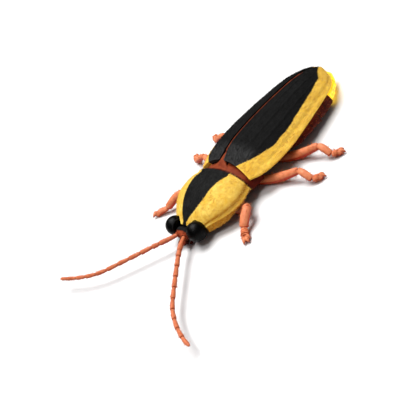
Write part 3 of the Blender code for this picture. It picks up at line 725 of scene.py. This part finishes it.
# Face plate, upper lip and the rings that the feelers stand in
face = {"plate": ((0, -5.5, 0.68), (0.34, 0.12, 0.13)), "lip": ((0, -5.62, 0.52), (0.24, 0.13, 0.07)),
        "rounding": 0.7, "socket": (0.4, -5.5, 1.02), "socketLean": (0.35, -1, 0.1), "socketRadius": 0.2,
        "socketWall": 0.05}
bm = bmesh.new()
for centre, size in (face["plate"], face["lip"]):
    part = bmesh.new()
    bmesh.ops.create_cube(part, size=2)
    bmesh.ops.bevel(part, geom=part.edges[:], offset=face["rounding"], affect="EDGES", segments=6,
                    profile=0.5, material=-1)
    bmesh.ops.scale(part, vec=size, verts=part.verts)
    bmesh.ops.translate(part, vec=centre, verts=part.verts)
    joinTo(bm, part)
for side in (1, -1):
    ring = ringPart(face["socketRadius"], face["socketWall"], 28)
    lean = Vector((face["socketLean"][0] * side, *face["socketLean"][1:])).to_track_quat("Z", "Y")
    bmesh.ops.rotate(ring, matrix=lean.to_matrix(), verts=ring.verts)
    bmesh.ops.translate(ring, vec=(face["socket"][0] * side, *face["socket"][1:]), verts=ring.verts)
    bmesh.ops.recalc_face_normals(ring, faces=ring.faces)
    joinTo(bm, ring)
finishPiece("facePlates", bm, headCuticle, (), lambda co: 1.0)


# Compound eye: a ball whose corners are cut off, so that it is six-sided lenses all over, each one domed.
# The real lenses are about 0.03 mm wide; here they are 0.06 mm so that they show.
def makeEye(word, side):
    radius = head["eyeRadius"]
    bm = bmesh.new()
    bmesh.ops.create_icosphere(bm, subdivisions=4, radius=radius)
    bmesh.ops.bevel(bm, geom=bm.verts[:], offset=head["cornerCut"], offset_type="PERCENT",
                    affect="VERTICES", segments=1, profile=0.5, material=-1)
    for vert in bm.verts:
        vert.co = vert.co.normalized() * radius
    bmesh.ops.inset_individual(bm, faces=bm.faces[:], thickness=head["facetInset"], depth=head["facetDome"])
    bmesh.ops.translate(bm, vec=(head["eyePlace"][0] * side, *head["eyePlace"][1:]), verts=bm.verts)
    bmesh.ops.bisect_plane(bm, geom=bm.verts[:] + bm.edges[:] + bm.faces[:],
                           plane_co=(head["eyeCutX"] * side, 0, 0), plane_no=(-side, 0, 0), clear_outer=True)
    closeEnds(bm)
    cutRadius = math.sqrt(radius ** 2 - (head["eyePlace"][0] - head["eyeCutX"]) ** 2)
    rim = ringPart(cutRadius, head["rimRadius"], 48)
    bmesh.ops.rotate(rim, matrix=Matrix.Rotation(math.radians(90), 3, "Y"), verts=rim.verts)
    bmesh.ops.translate(rim, vec=(head["rimX"] * side, *head["eyePlace"][1:]), verts=rim.verts)
    bmesh.ops.recalc_face_normals(rim, faces=rim.faces)
    finishPiece("eyeRim_" + word, rim, headCuticle, (), lambda co: -1.0)
    finishPiece("compoundEye_" + word, bm, eyeLens, ["eye_" + word], sharp=75)


for word, side in (("left", 1), ("right", -1)):
    makeEye(word, side)
print("head and eyes made")

# Mouthparts: their real brown darkened to near-black red brown as painted shade under the head
mouth = {
    "jaw": [(0.34, -5.44, 0.54), (0.4, -5.64, 0.52), (0.34, -5.8, 0.5), (0.16, -5.9, 0.48)],
    "jawRadius": 0.13, "jawFlatness": 0.75, "redness": 0.8,
    "palp": [(0.34, -5.02, 0.48), (0.42, -5.18, 0.36), (0.48, -5.33, 0.28), (0.5, -5.46, 0.24)],
    "palpJoints": [(0.0, 0.22, 0.08), (0.2, 0.45, 0.09), (0.43, 0.66, 0.1), (0.62, 1.0, 0.12)],
    "lipPalp": [(0.14, -5.26, 0.38), (0.17, -5.42, 0.3), (0.18, -5.54, 0.28)],
    "lipPalpJoints": [(0.0, 0.5, 0.07), (0.45, 1.0, 0.07)]}
jawProfile = [(0, 0), (0, 0.8), (0.15, 1.0), (0.4, 0.95), (0.6, 0.8), (0.8, 0.5), (0.93, 0.25), (1, 0)]
jointProfile = [(0, 0), (0.0, 0.5), (0.1, 0.74), (0.35, 0.9), (0.7, 1.0), (0.92, 0.92), (1.0, 0.6), (1.0, 0)]
for word, side in (("left", 1), ("right", -1)):
    def across(points):
        return [Vector((x * side, y, z)) for x, y, z in points]

    bm = bmesh.new()
    limbPart(bm, jawProfile, 16, curvedLine(across(mouth["jaw"])), mouth["jawRadius"],
             mouth["jawFlatness"])
    finishPiece("jaw_" + word, bm, bodyCuticle, ["mandible_" + word],
                lambda co: mouth["redness"])
    bm = bmesh.new()
    for kind, sides in (("palp", 14), ("lipPalp", 12)):
        line = curvedLine(across(mouth[kind]))
        for start, end, radius in mouth[kind + "Joints"]:
            limbPart(bm, jointProfile, sides, stretchOf(line, start, end), radius)
    finishPiece("mouthFeeler_" + word, bm, bodyCuticle, ["palp_" + word],
                lambda co: mouth["redness"])
print("mouthparts made")

# Feelers: a long root joint, a short second one and nine even ones. Each joint is a foot and a head, and the
# last one a foot and a tip, as profiles of (share along, width).
feeler = {
    "path": [(0.4, -5.46, 1.03), (0.95, -6.26, 1.1), (1.7, -7.12, 1.13), (3.3, -8.85, 1.1),
             (5.0, -10.55, 1.06), (6.5, -11.46, 1.1), (7.95, -12.04, 1.12), (8.86, -12.27, 1.06)],
    "joints": [1.5, 0.6] + [1.0] * 9, "radius": 0.184, "rootSwell": 1.02, "tipTaper": 0.2, "redness": 0.5,
    "jointReach": 0.2, "ends": (0.0005, 0.9995),
    "foot": [(0, 0), (0, 0.45), (0.03, 0.62), (0.1, 0.76), (0.3, 0.85)],
    "head": [(0.6, 0.93), (0.86, 1.0), (0.95, 0.94), (0.99, 0.7), (1.0, 0)],
    "tip": [(0.55, 0.92), (0.78, 0.8), (0.9, 0.6), (0.97, 0.36), (1.0, 0)]}
feelers = {}
for word, side in (("left", 1), ("right", -1)):
    points = [Vector((x * side, y, z)) for x, y, z in feeler["path"]]
    lengths = [0.0]
    for a, b in zip(points, points[1:]):
        lengths.append(lengths[-1] + (b - a).length)
    tracks = [[(s / lengths[-1], p[axis]) for s, p in zip(lengths, points)] for axis in range(3)]

    def feelerLine(share):
        inside = min(max(share, feeler["ends"][0]), feeler["ends"][1])
        return Vector([through(t, inside) for t in tracks])

    bm = bmesh.new()
    total, start, last = sum(feeler["joints"]), 0.0, len(feeler["joints"]) - 1
    joints = []
    for k, length in enumerate(feeler["joints"]):
        end = start + length
        radius = feeler["radius"] * (1 - feeler["tipTaper"] * k / last)
        if k == 0:
            radius *= feeler["rootSwell"]
        profile = feeler["foot"] + feeler["tip" if k == last else "head"]
        limbPart(bm, profile, 20, stretchOf(feelerLine, start / total, end / total), radius)
        if k < last:
            joints.append(feelerLine(end / total))
        start = end
    near = nearJoints(joints, feeler["jointReach"])
    feelers[word] = finishPiece("feeler_" + word, bm, limbCuticle, ["antenna_" + word],
                                lambda co: max(near(co), feeler["redness"]))
print("feelers made")

# Breast, middle body and the red-brown band between the shield and the wing cases
breast = {"frontY": -3.5, "rearY": -0.5, "bottomZ": 0.42, "bluntness": 3.2, "inset": 0.5, "topInset": 0.6,
          "keel": [(0.05, 0, 0.14)], "grooves": [(-0.03, 0.5, 0.1)], "seam": (1.5, 0.08)}


def breastDetail(point, angle):  # a keel down the middle of the underside, between two grooves
    relief = rises(point.x, breast["keel"]) + rises(abs(point.x), breast["grooves"])
    return point + Vector((0, 0, -1)) * relief * max(0.0, -math.sin(angle))


bm = bluntBody(72, 40, breast["frontY"], breast["rearY"], breast["bluntness"],
               lambda y: through(shield["halfWidth"], y) - breast["inset"],
               lambda y: through(shield["top"], y) - breast["topInset"], lambda y: breast["bottomZ"],
               detail=breastDetail)
finishPiece("breast", bm, bodyCuticle, ["prosternum"],
            lambda co: hump(abs(co.x), *breast["seam"]))

middle = {
    "startY": -0.2, "endY": 3.75, "bluntness": 4.5,
    "halfWidth": [(-0.2, 2.0), (0.1, 2.2), (0.6, 2.36), (1.2, 2.5), (2.4, 2.64), (3.3, 2.64), (3.75, 2.5)],
    "top": [(-0.2, 1.9), (0.3, 2.02), (1.0, 2.14), (2.2, 2.36), (3.2, 2.4), (3.75, 2.26)],
    "bottom": [(-0.2, 0.62), (0.3, 0.44), (1.5, 0.38), (3.0, 0.36), (3.75, 0.5)],
    "frontSeam": (0.42, 0.05), "keelSeam": (0, 0.04), "keelFade": (0.5, 0.8), "sideSeam": (1.45, 0.05),
    "sideSlant": 0.18, "rearSeam": (2.55, 0.05), "rearSlant": 0.25, "seamDepth": 0.045, "seamZ": 1.5}


def bodySeams(co):  # how near a seam of the underside a point is, from 0 to 1
    m = middle
    seam = max(hump(co.y, *m["frontSeam"]), hump(co.x, *m["keelSeam"]) * smoothStep(co.y, *m["keelFade"]),
               hump(abs(co.x) - m["sideSlant"] * co.y, *m["sideSeam"]),
               hump(co.y - m["rearSlant"] * abs(co.x), *m["rearSeam"]))
    return seam if co.z < m["seamZ"] else 0.0


bm = bluntBody(96, 60, middle["startY"], middle["endY"], middle["bluntness"], curveOf(middle["halfWidth"]),
               curveOf(middle["top"]), curveOf(middle["bottom"]),
               detail=lambda p, a: p + Vector((0, 0, middle["seamDepth"] * bodySeams(p))))
finishPiece("middleBody", bm, bodyCuticle, ["thorax"], bodySeams)

band = {"startY": -0.62, "endY": 1.1, "halfWidth": [(-0.62, 2.5), (-0.2, 2.62), (0.3, 2.7), (1.1, 2.8)],
        "top": [(-0.62, 2.25), (-0.3, 2.42), (0.1, 2.5), (0.5, 2.38), (1.1, 2.3)], "base": 1.0, "wrap": 100,
        "beads": [(0.04, -0.32, 0.06), (-0.04, -0.2, 0.05)], "ripple": (0.015, 0.3), "seam": (-0.2, 0.08),
        "wall": 0.12, "rounding": 0.03}


def bandPlace(u, v):
    turn = math.radians(band["wrap"]) * (2 * u - 1)
    y = band["startY"] + (band["endY"] - band["startY"]) * v
    height = through(band["top"], y) - band["base"] + rises(y, band["beads"])
    height += band["ripple"][0] * swell((turn * 2, y, 0), band["ripple"][1])
    return Vector((through(band["halfWidth"], y) * math.sin(turn), y, band["base"] + height * math.cos(turn)))


bm = bentGrid(96, 28, bandPlace)
faceAwayFrom(bm, (0, 0.2, 0))
wingBase = finishPiece("wingBase", bm, bodyCuticle, (),
                       lambda co: hump(co.y, *band["seam"]))
addWall(wingBase, band["wall"], band["rounding"])

plate = {"startY": -0.3, "endY": 1.75, "bluntness": 5, "squareness": 0.8, "thickness": 0.5,
         "groove": [(-0.04, 0, 0.12)], "dark": (0.1, 0.4),
         "halfWidth": [(-0.3, 1.1), (0.1, 0.95), (0.4, 0.5), (0.9, 0.26), (1.75, 0.1)],
         "top": [(-0.3, 2.36), (0.1, 2.54), (0.6, 2.75), (1.0, 2.88), (1.75, 2.98)]}


def plateDetail(point, angle):  # a shallow groove down its middle
    return point + Vector((0, 0, rises(point.x, plate["groove"]) * max(0.0, math.sin(angle))))


bm = bluntBody(48, 40, plate["startY"], plate["endY"], plate["bluntness"], curveOf(plate["halfWidth"]),
               curveOf(plate["top"]), lambda y: through(plate["top"], y) - plate["thickness"],
               back=plate["squareness"], belly=plate["squareness"], detail=plateDetail)
finishPiece("scutellarPlate", bm, bodyCuticle, ["scutellum"],
            lambda co: smoothStep(-co.y, *plate["dark"]))

# The body's back shows as a thin line along the seam of the wing cases
ridge = {"startY": 1.2, "endY": 11.3, "bluntness": 8, "squareness": 0.7, "bottomZ": 1.8, "drop": 0.01,
         "dip": 0.4, "dipY": (10.2, 11.3), "redness": 0.1, "blotch": (0.3, 0.8)}


def ridgeTop(y):
    return through(case["sutureZ"], y) - ridge["drop"] - ridge["dip"] * smoothStep(y, *ridge["dipY"])


def ridgeShade(co):
    height, size = ridge["blotch"]
    return ridge["redness"] + height * swell(co, size)


bm = bluntBody(16, 60, ridge["startY"], ridge["endY"], ridge["bluntness"], curveOf(case["sutureX"]), ridgeTop,
               lambda y: ridge["bottomZ"], back=ridge["squareness"])
finishPiece("backRidge", bm, bodyCuticle, (), ridgeShade)
print("breast, middle body and wing base made")

# Abdomen: one ring a segment, each tucked under the one before; the last three glow. ring is the section of
# one segment, as (share along, inset).
abdomen = {
    "starts": [3.9, 5.15, 6.35, 7.5, 8.65, 9.75, 10.7, 11.55], "tipY": 12.47,
    "halfWidth": [(3.95, 3.1), (5.0, 3.4), (6.5, 3.28), (8.0, 2.9), (9.6, 2.36), (10.8, 1.74), (11.8, 1.06),
                  (12.47, 0.3)],
    "top": [(3.95, 2.2), (5.5, 2.24), (7.5, 2.12), (9.5, 1.82), (10.7, 1.4), (11.3, 1.14), (11.8, 1.28),
            (12.2, 1.24), (12.47, 0.98)],
    "bottom": [(3.95, 0.5), (5.0, 0.36), (8.0, 0.12), (9.4, -0.03), (10.2, 0.06), (11.0, 0.24), (11.9, 0.44),
               (12.47, 0.76)],
    "edge": 0.3, "back": 1.5, "belly": 0.8, "fold": [(0.06, 172, 4)], "ripple": (0.012, 0.5),
    "ring": [(0.0, 0.2), (0.0, 0.06), (0.06, 0.03), (0.2, 0.01), (0.4, 0.0), (0.6, -0.015), (0.8, -0.035),
             (0.92, -0.05), (0.98, -0.045), (1.01, -0.01), (1.02, 0.05), (0.99, 0.16)],
    "seamReach": 0.14, "seamShade": 0.75, "lightSeamReach": 0.07, "tipBluntness": 5, "tipCap": 0.9}


def abdomenRing(start, end):
    ring = abdomen["ring"]

    def place(u, v):
        share, inset = ring[round(v * (len(ring) - 1))]
        angle = math.tau * u
        y = start + (end - start) * share
        # a fold between back plate and belly plate, just above the widest line of each side
        if math.sin(angle) > 0:
            inset += rises(abs(math.degrees(angle) - 180), abdomen["fold"])
        point = trunkPoint(angle, through(abdomen["halfWidth"], y) - inset,
                           through(abdomen["top"], y) - inset, through(abdomen["bottom"], y) + inset, y,
                           abdomen["edge"], abdomen["back"], abdomen["belly"])
        point.z = max(point.z + abdomen["ripple"][0] * swell(point, abdomen["ripple"][1]), 0.0)
        return point

    bm = bentGrid(96, len(ring) - 1, place, closed=True)
    closeEnds(bm)
    return bm


def ringShade(edges, reach):
    return lambda co: max(hump(co.y, e, reach) for e in edges)


starts = abdomen["starts"]
bm = bmesh.new()
for start, end in zip(starts[:5], starts[1:6]):
    joinTo(bm, abdomenRing(start, end))
belly = finishPiece("bellyRings", bm, bodyCuticle, ["abdomen"],
                    lambda co: abdomen["seamShade"] * ringShade(starts[1:6], abdomen["seamReach"])(co))
bm = bmesh.new()
for start, end in zip(starts[5:7], starts[6:8]):
    joinTo(bm, abdomenRing(start, end))
finishPiece("lightRings", bm, lightSkin, ["lantern"],
            ringShade(starts[5:8], abdomen["lightSeamReach"]))


def tipPlace(u, v):
    y = starts[7] + (abdomen["tipY"] - starts[7]) * math.sin(0.5 * math.pi * v)
    bluntness = abdomen["tipBluntness"]
    size = max(0.0, 1 - v ** bluntness) ** (1 / bluntness) if v > 0 else abdomen["tipCap"]
    angle = math.tau * u
    low, high = through(abdomen["bottom"], y), through(abdomen["top"], y)
    level = low + (high - low) * abdomen["edge"]
    point = trunkPoint(angle, through(abdomen["halfWidth"], y) * size, level + (high - level) * size,
                       level - (level - low) * size, y, abdomen["edge"], abdomen["back"], abdomen["belly"])
    point.z = max(point.z, 0.0)
    return point


bm = bentGrid(64, 20, tipPlace, closed=True)
closeEnds(bm)
finishPiece("lightTip", bm, lightSkin, ["tail_tip"],
            ringShade([starts[7]], abdomen["lightSeamReach"]))
print("abdomen made")

# Legs: root, collar, thigh, shin with two spurs, five foot joints, two claws.
# The stance differs a little between the sides: a shift moves a joint out on the right and in on the left
legs = {
    "front": {"coxa": (0.5, -1.45, 0.66), "hip": (1.15, -1.62, 0.56), "knee": (4.02, -1.84, 1.1),
              "ankle": (4.75, -3.15, 0.4), "toe": (5.6, -3.82, 0.3), "ankleShift": 0.4, "toeShift": 0.5,
              "sag": 0.46, "shinWidth": 1.4},
    "middle": {"coxa": (0.5, 0.95, 0.64), "hip": (1.15, 0.82, 0.5), "knee": (5.55, 2.1, 0.95),
               "ankle": (6.72, 2.0, 0.36), "toe": (7.3, 2.48, 0.3), "ankleShift": 0.1, "toeShift": 0.4,
               "sag": 0.25, "shinWidth": 1.08},
    "hind": {"coxa": (0.55, 3.05, 0.62), "hip": (1.25, 3.15, 0.48), "knee": (5.45, 4.55, 0.97),
             "ankle": (6.6, 4.45, 0.36), "toe": (7.2, 4.9, 0.3), "ankleShift": 0.15, "toeShift": 0.42,
             "sag": 0.28, "shinWidth": 1.08}}
leg = {
    "rootRadius": 0.36, "collarRadius": 0.27, "thighRadius": 0.34, "kneeRadius": 0.2, "shinRadius": 0.25,
    "shinBow": 0.1, "collarShares": (-0.06, 0.14), "thighShares": (0.08, 1.0), "kneeShares": (0.96, 0.1),
    "shinShares": (0.02, 0.98), "thighFlatness": 1.05, "shinFlatness": 0.92,
    "collarJoint": 0.1, "jointReach": 0.24,
    "thigh": [(0, 0), (0.0, 0.5), (0.03, 0.68), (0.1, 0.8), (0.25, 0.95), (0.45, 1.0), (0.65, 0.96),
              (0.82, 0.84), (0.92, 0.8), (0.97, 0.72), (1.0, 0.45), (1.0, 0)],
    "shin": [(0, 0), (0.0, 0.5), (0.03, 0.78), (0.08, 0.86), (0.14, 0.84), (0.3, 0.96), (0.5, 1.0),
             (0.75, 0.94), (0.92, 0.92), (0.98, 0.75), (1.0, 0)],
    "root": [(0, 0), (0, 0.7), (0.2, 0.95), (0.5, 1.0), (0.8, 0.88), (1.0, 0.62), (1.04, 0)],
    "ball": [(0, 0), (0.03, 0.35), (0.15, 0.75), (0.35, 0.97), (0.55, 1.0), (0.8, 0.85), (0.95, 0.45),
             (1, 0)],
    "footJoint": [(0, 0), (0, 0.62), (0.08, 0.74), (0.35, 0.86), (0.7, 0.97), (0.9, 1.0), (0.98, 0.86),
                  (1.0, 0.6), (1, 0)],
    "footLengths": (0.28, 0.19, 0.15, 0.16, 0.22), "footRadii": (0.28, 0.29, 0.31, 0.26, 0.19),
    "footFlatness": 0.75, "footOverlap": 0.02, "lobeRadius": 0.22, "lobeFlatness": 0.8, "lobeOverlap": 0.03,
    "lobeReach": 0.26, "lobeApart": 0.16, "lobeZ": 0.16,
    "spurLength": 0.22, "spurRadius": 0.045, "spurShare": 0.95, "spurApart": 0.12, "spurTurn": 0.05,
    "spurDrop": 0.08, "spurLowestZ": 0.04,
    "clawLength": 0.42, "clawRadius": 0.15, "clawSpread": 32, "clawOverlap": 0.08, "clawBend": 0.6,
    "clawBow": 0.02, "clawBowShare": 0.55, "clawTipZ": 0.1}
legPieces = {}


def makeLeg(name, spec, side):
    def joint(key, shift=0.0):
        x, y, z = spec[key]
        return Vector((x * side - shift, y, z))

    coxa, hip, knee = joint("coxa"), joint("hip"), joint("knee")
    ankle, toe = joint("ankle", spec["ankleShift"]), joint("toe", spec["toeShift"])

    def thighLine(share):
        return hip.lerp(knee, share) - Vector((0, 0, spec["sag"] * math.sin(math.pi * share)))

    def shinLine(share):
        return knee.lerp(ankle, share) + Vector((0, 0, leg["shinBow"] * math.sin(math.pi * share)))

    bm = bmesh.new()
    limbPart(bm, leg["root"], 24, straightLine(coxa, hip), leg["rootRadius"])
    limbPart(bm, leg["ball"], 20, stretchOf(thighLine, *leg["collarShares"]), leg["collarRadius"])
    limbPart(bm, leg["thigh"], 24, stretchOf(thighLine, *leg["thighShares"]), leg["thighRadius"],
             leg["thighFlatness"])
    above, below = leg["kneeShares"]
    limbPart(bm, leg["ball"], 20, straightLine(thighLine(above), shinLine(below)), leg["kneeRadius"])
    limbPart(bm, leg["shin"], 20, stretchOf(shinLine, *leg["shinShares"]),
             leg["shinRadius"] * spec["shinWidth"], leg["shinFlatness"])
    ahead = toe - ankle
    ahead.z = 0
    ahead.normalize()
    beside = ahead.cross(Vector((0, 0, 1)))
    for turn in (-1, 1):  # spurs under the end of the shin
        root = shinLine(leg["spurShare"]) + beside * leg["spurApart"] * turn - Vector((0, 0, leg["spurDrop"]))
        tip = root + ahead * leg["spurLength"] + beside * leg["spurTurn"] * turn
        tip.z = max(tip.z - leg["spurDrop"], leg["spurLowestZ"])
        limbPart(bm, jawProfile, 8, straightLine(root, tip), leg["spurRadius"])
    start, joints = 0.0, [hip, thighLine(leg["collarJoint"]), knee, ankle]
    for k, (length, radius) in enumerate(zip(leg["footLengths"], leg["footRadii"])):
        a, b = ankle.lerp(toe, start - leg["footOverlap"]), ankle.lerp(toe, start + length)
        if k == 3:  # the fourth joint is split in two pads
            for turn in (-1, 1):
                tip = b + beside * leg["lobeApart"] * turn + ahead * leg["lobeReach"]
                tip.z = leg["lobeZ"]
                limbPart(bm, leg["ball"], 14, straightLine(a - ahead * leg["lobeOverlap"], tip),
                         leg["lobeRadius"], leg["lobeFlatness"])
        limbPart(bm, leg["footJoint"], 18, straightLine(a, b), radius, leg["footFlatness"])
        joints.append(b)
        start += length
    for turn in (-1, 1):
        out = Matrix.Rotation(math.radians(leg["clawSpread"] * turn), 3, "Z") @ ahead
        root = toe - ahead * leg["clawOverlap"]
        tip = toe + out * leg["clawLength"]
        tip.z = leg["clawTipZ"]
        high = toe + out * leg["clawLength"] * leg["clawBend"]
        high.z = toe.z - leg["clawBow"]
        between = root.lerp(high, leg["clawBowShare"]) + Vector((0, 0, leg["clawBow"]))
        limbPart(bm, jawProfile, 12, curvedLine([root, between, high, tip]), leg["clawRadius"])
        joints.append(tip)
    for vert in bm.verts:
        vert.co.z = max(vert.co.z, 0.0)
    return finishPiece(name.replace("_leg", "Leg"), bm, limbCuticle, [name],
                       nearJoints(joints, leg["jointReach"]))


for place, spec in legs.items():
    for word, side in (("left", 1), ("right", -1)):
        legPieces[place + word] = makeLeg(place + "_leg_" + word, spec, side)
print("legs made")

# Hairs, up to twice as thick as the real down of 0.01 mm so that they show
down = {
    "shield": {"seed": 3, "count": 3600, "length": 0.18, "thickness": 0.012, "lay": (0, 1, -0.2),
               "lift": 0.25, "tousle": 0.35},
    "case": {"seed": 5, "count": 5200, "length": 0.2, "thickness": 0.012, "lay": (0, 1, 0), "lift": 0.22,
             "tousle": 0.3},
    "leg": {"seed": 7, "count": 620, "length": 0.17, "thickness": 0.02, "lay": (0, 0, -0.4), "lift": 0.7,
            "tousle": 0.5},
    "feeler": {"seed": 9, "count": 900, "length": 0.12, "thickness": 0.016, "lay": (0, -1, 0), "lift": 0.6,
               "tousle": 0.4},
    "belly": {"seed": 11, "count": 2400, "length": 0.2, "thickness": 0.016, "lay": (0, 1, 0), "lift": 0.35,
              "tousle": 0.4, "topZ": 1.9},
    "head": {"seed": 13, "count": 420, "length": 0.12, "thickness": 0.014, "lay": (0, -1, 0.3), "lift": 0.6,
             "tousle": 0.5}}
down["stripe"] = dict(down["shield"], seed=4, count=1500)
down["margin"] = dict(down["case"], seed=6, count=2400)
growHairs("shieldDown", neckShield, goldHair, down["shield"],
          lambda p: shieldShade(p) < 0.0)
growHairs("stripeDown", neckShield, sootHair, down["stripe"],
          lambda p: shieldShade(p) >= 0.0)
for word, piece in wingCases.items():
    growHairs("caseDown_" + word, piece, sootHair, down["case"], lambda p: caseShade(p) < 0.0)
    growHairs("marginDown_" + word, piece, goldHair, down["margin"],
              lambda p: caseShade(p) >= 0.0)
for name, piece in legPieces.items():
    growHairs(name + "Bristles", piece, rustHair, down["leg"])
for word, piece in feelers.items():
    growHairs("feelerDown_" + word, piece, rustHair, down["feeler"])
growHairs("bellyDown", belly, rustHair, down["belly"],
          lambda p: p.z < down["belly"]["topZ"])
growHairs("headDown", headCapsule, sootHair, down["head"])
print("hairs grown")

# Floor, light and camera: places and sizes in metres, except the card's grain in millimetres
studio = {"floorSize": 1.6, "card": ("#dedede", "#e2e2e2"), "cardGrain": 1.5,
          "sky": 0.16, "sun": 4.35, "sunFrom": (-0.28, 0.13, 1.0), "sunSoftness": 42,
          "boxFrom": (0.02, -0.03, 0.075), "boxAim": (0, -0.004, 0.001), "boxSize": 0.022, "boxPower": 0.02}
floorMesh = bpy.data.meshes.new("floor")
bm = bmesh.new()
bmesh.ops.create_grid(bm, x_segments=1, y_segments=1, size=studio["floorSize"] / 2)
bm.to_mesh(floorMesh)
bm.free()
floor = addObject("floor", floorMesh)

# Matt white card: an even light grey with hardly any tooth, and no shine
card = bpy.data.materials.new("mattPaper")
card.use_nodes = True
tree = card.node_tree
shader = tree.nodes["Principled BSDF"]
coords = addNode(tree, "ShaderNodeTexCoord").outputs["Object"]
tooth = addNode(tree, "ShaderNodeTexNoise", {"Scale": 1 / (studio["cardGrain"] * mm), "Detail": 2},
                {"Vector": coords}).outputs["Fac"]
dim, bright = studio["card"]
tone = addNode(tree, "ShaderNodeMix", {"data_type": "RGBA", 6: hexColour(dim), 7: hexColour(bright)},
               {0: tooth}).outputs[2]
tree.links.new(tone, shader.inputs["Base Color"])
shader.inputs["Roughness"].default_value = 0.9
floorMesh.materials.append(card)

world = bpy.data.worlds.new("studioWhite")
world.use_nodes = True
world.node_tree.nodes["Background"].inputs["Color"].default_value = (1, 1, 1, 1)
world.node_tree.nodes["Background"].inputs["Strength"].default_value = studio["sky"]
bpy.context.scene.world = world

sunData = bpy.data.lights.new("key", "SUN")
sunData.energy = studio["sun"]
sunData.angle = math.radians(studio["sunSoftness"])
sun = addObject("key", sunData)
sun.rotation_euler = Vector(studio["sunFrom"]).to_track_quat("Z", "Y").to_euler()

boxData = bpy.data.lights.new("softBox", "AREA")
boxData.shape = "SQUARE"
boxData.size = studio["boxSize"]
boxData.energy = studio["boxPower"]
softBox = addObject("softBox", boxData)
softBox.location = studio["boxFrom"]
away = Vector(studio["boxFrom"]) - Vector(studio["boxAim"])
softBox.rotation_euler = away.to_track_quat("Z", "Y").to_euler()

# The camera's place is in millimetres, its angles in degrees
view = {"place": (42.8046, -20.0492, 27.3468), "azimuth": 67.758, "elevation": 30.0, "roll": -36.682,
        "lens": 63.76}
cameraData = bpy.data.cameras.new("camera")
cameraData.lens = view["lens"]
cameraData.sensor_width = 36
cameraData.clip_start = 0.001
cameraData.clip_end = 10
camera = addObject("camera", cameraData)
turned = (Matrix.Rotation(math.radians(view["azimuth"]), 4, "Z")
          @ Matrix.Rotation(math.radians(90 - view["elevation"]), 4, "X")
          @ Matrix.Rotation(math.radians(view["roll"]), 4, "Z"))
camera.matrix_world = Matrix.Translation(Vector(view["place"]) * mm) @ turned
bpy.context.scene.camera = camera
bpy.context.scene.view_settings.view_transform = "Standard"
print("studio ready")
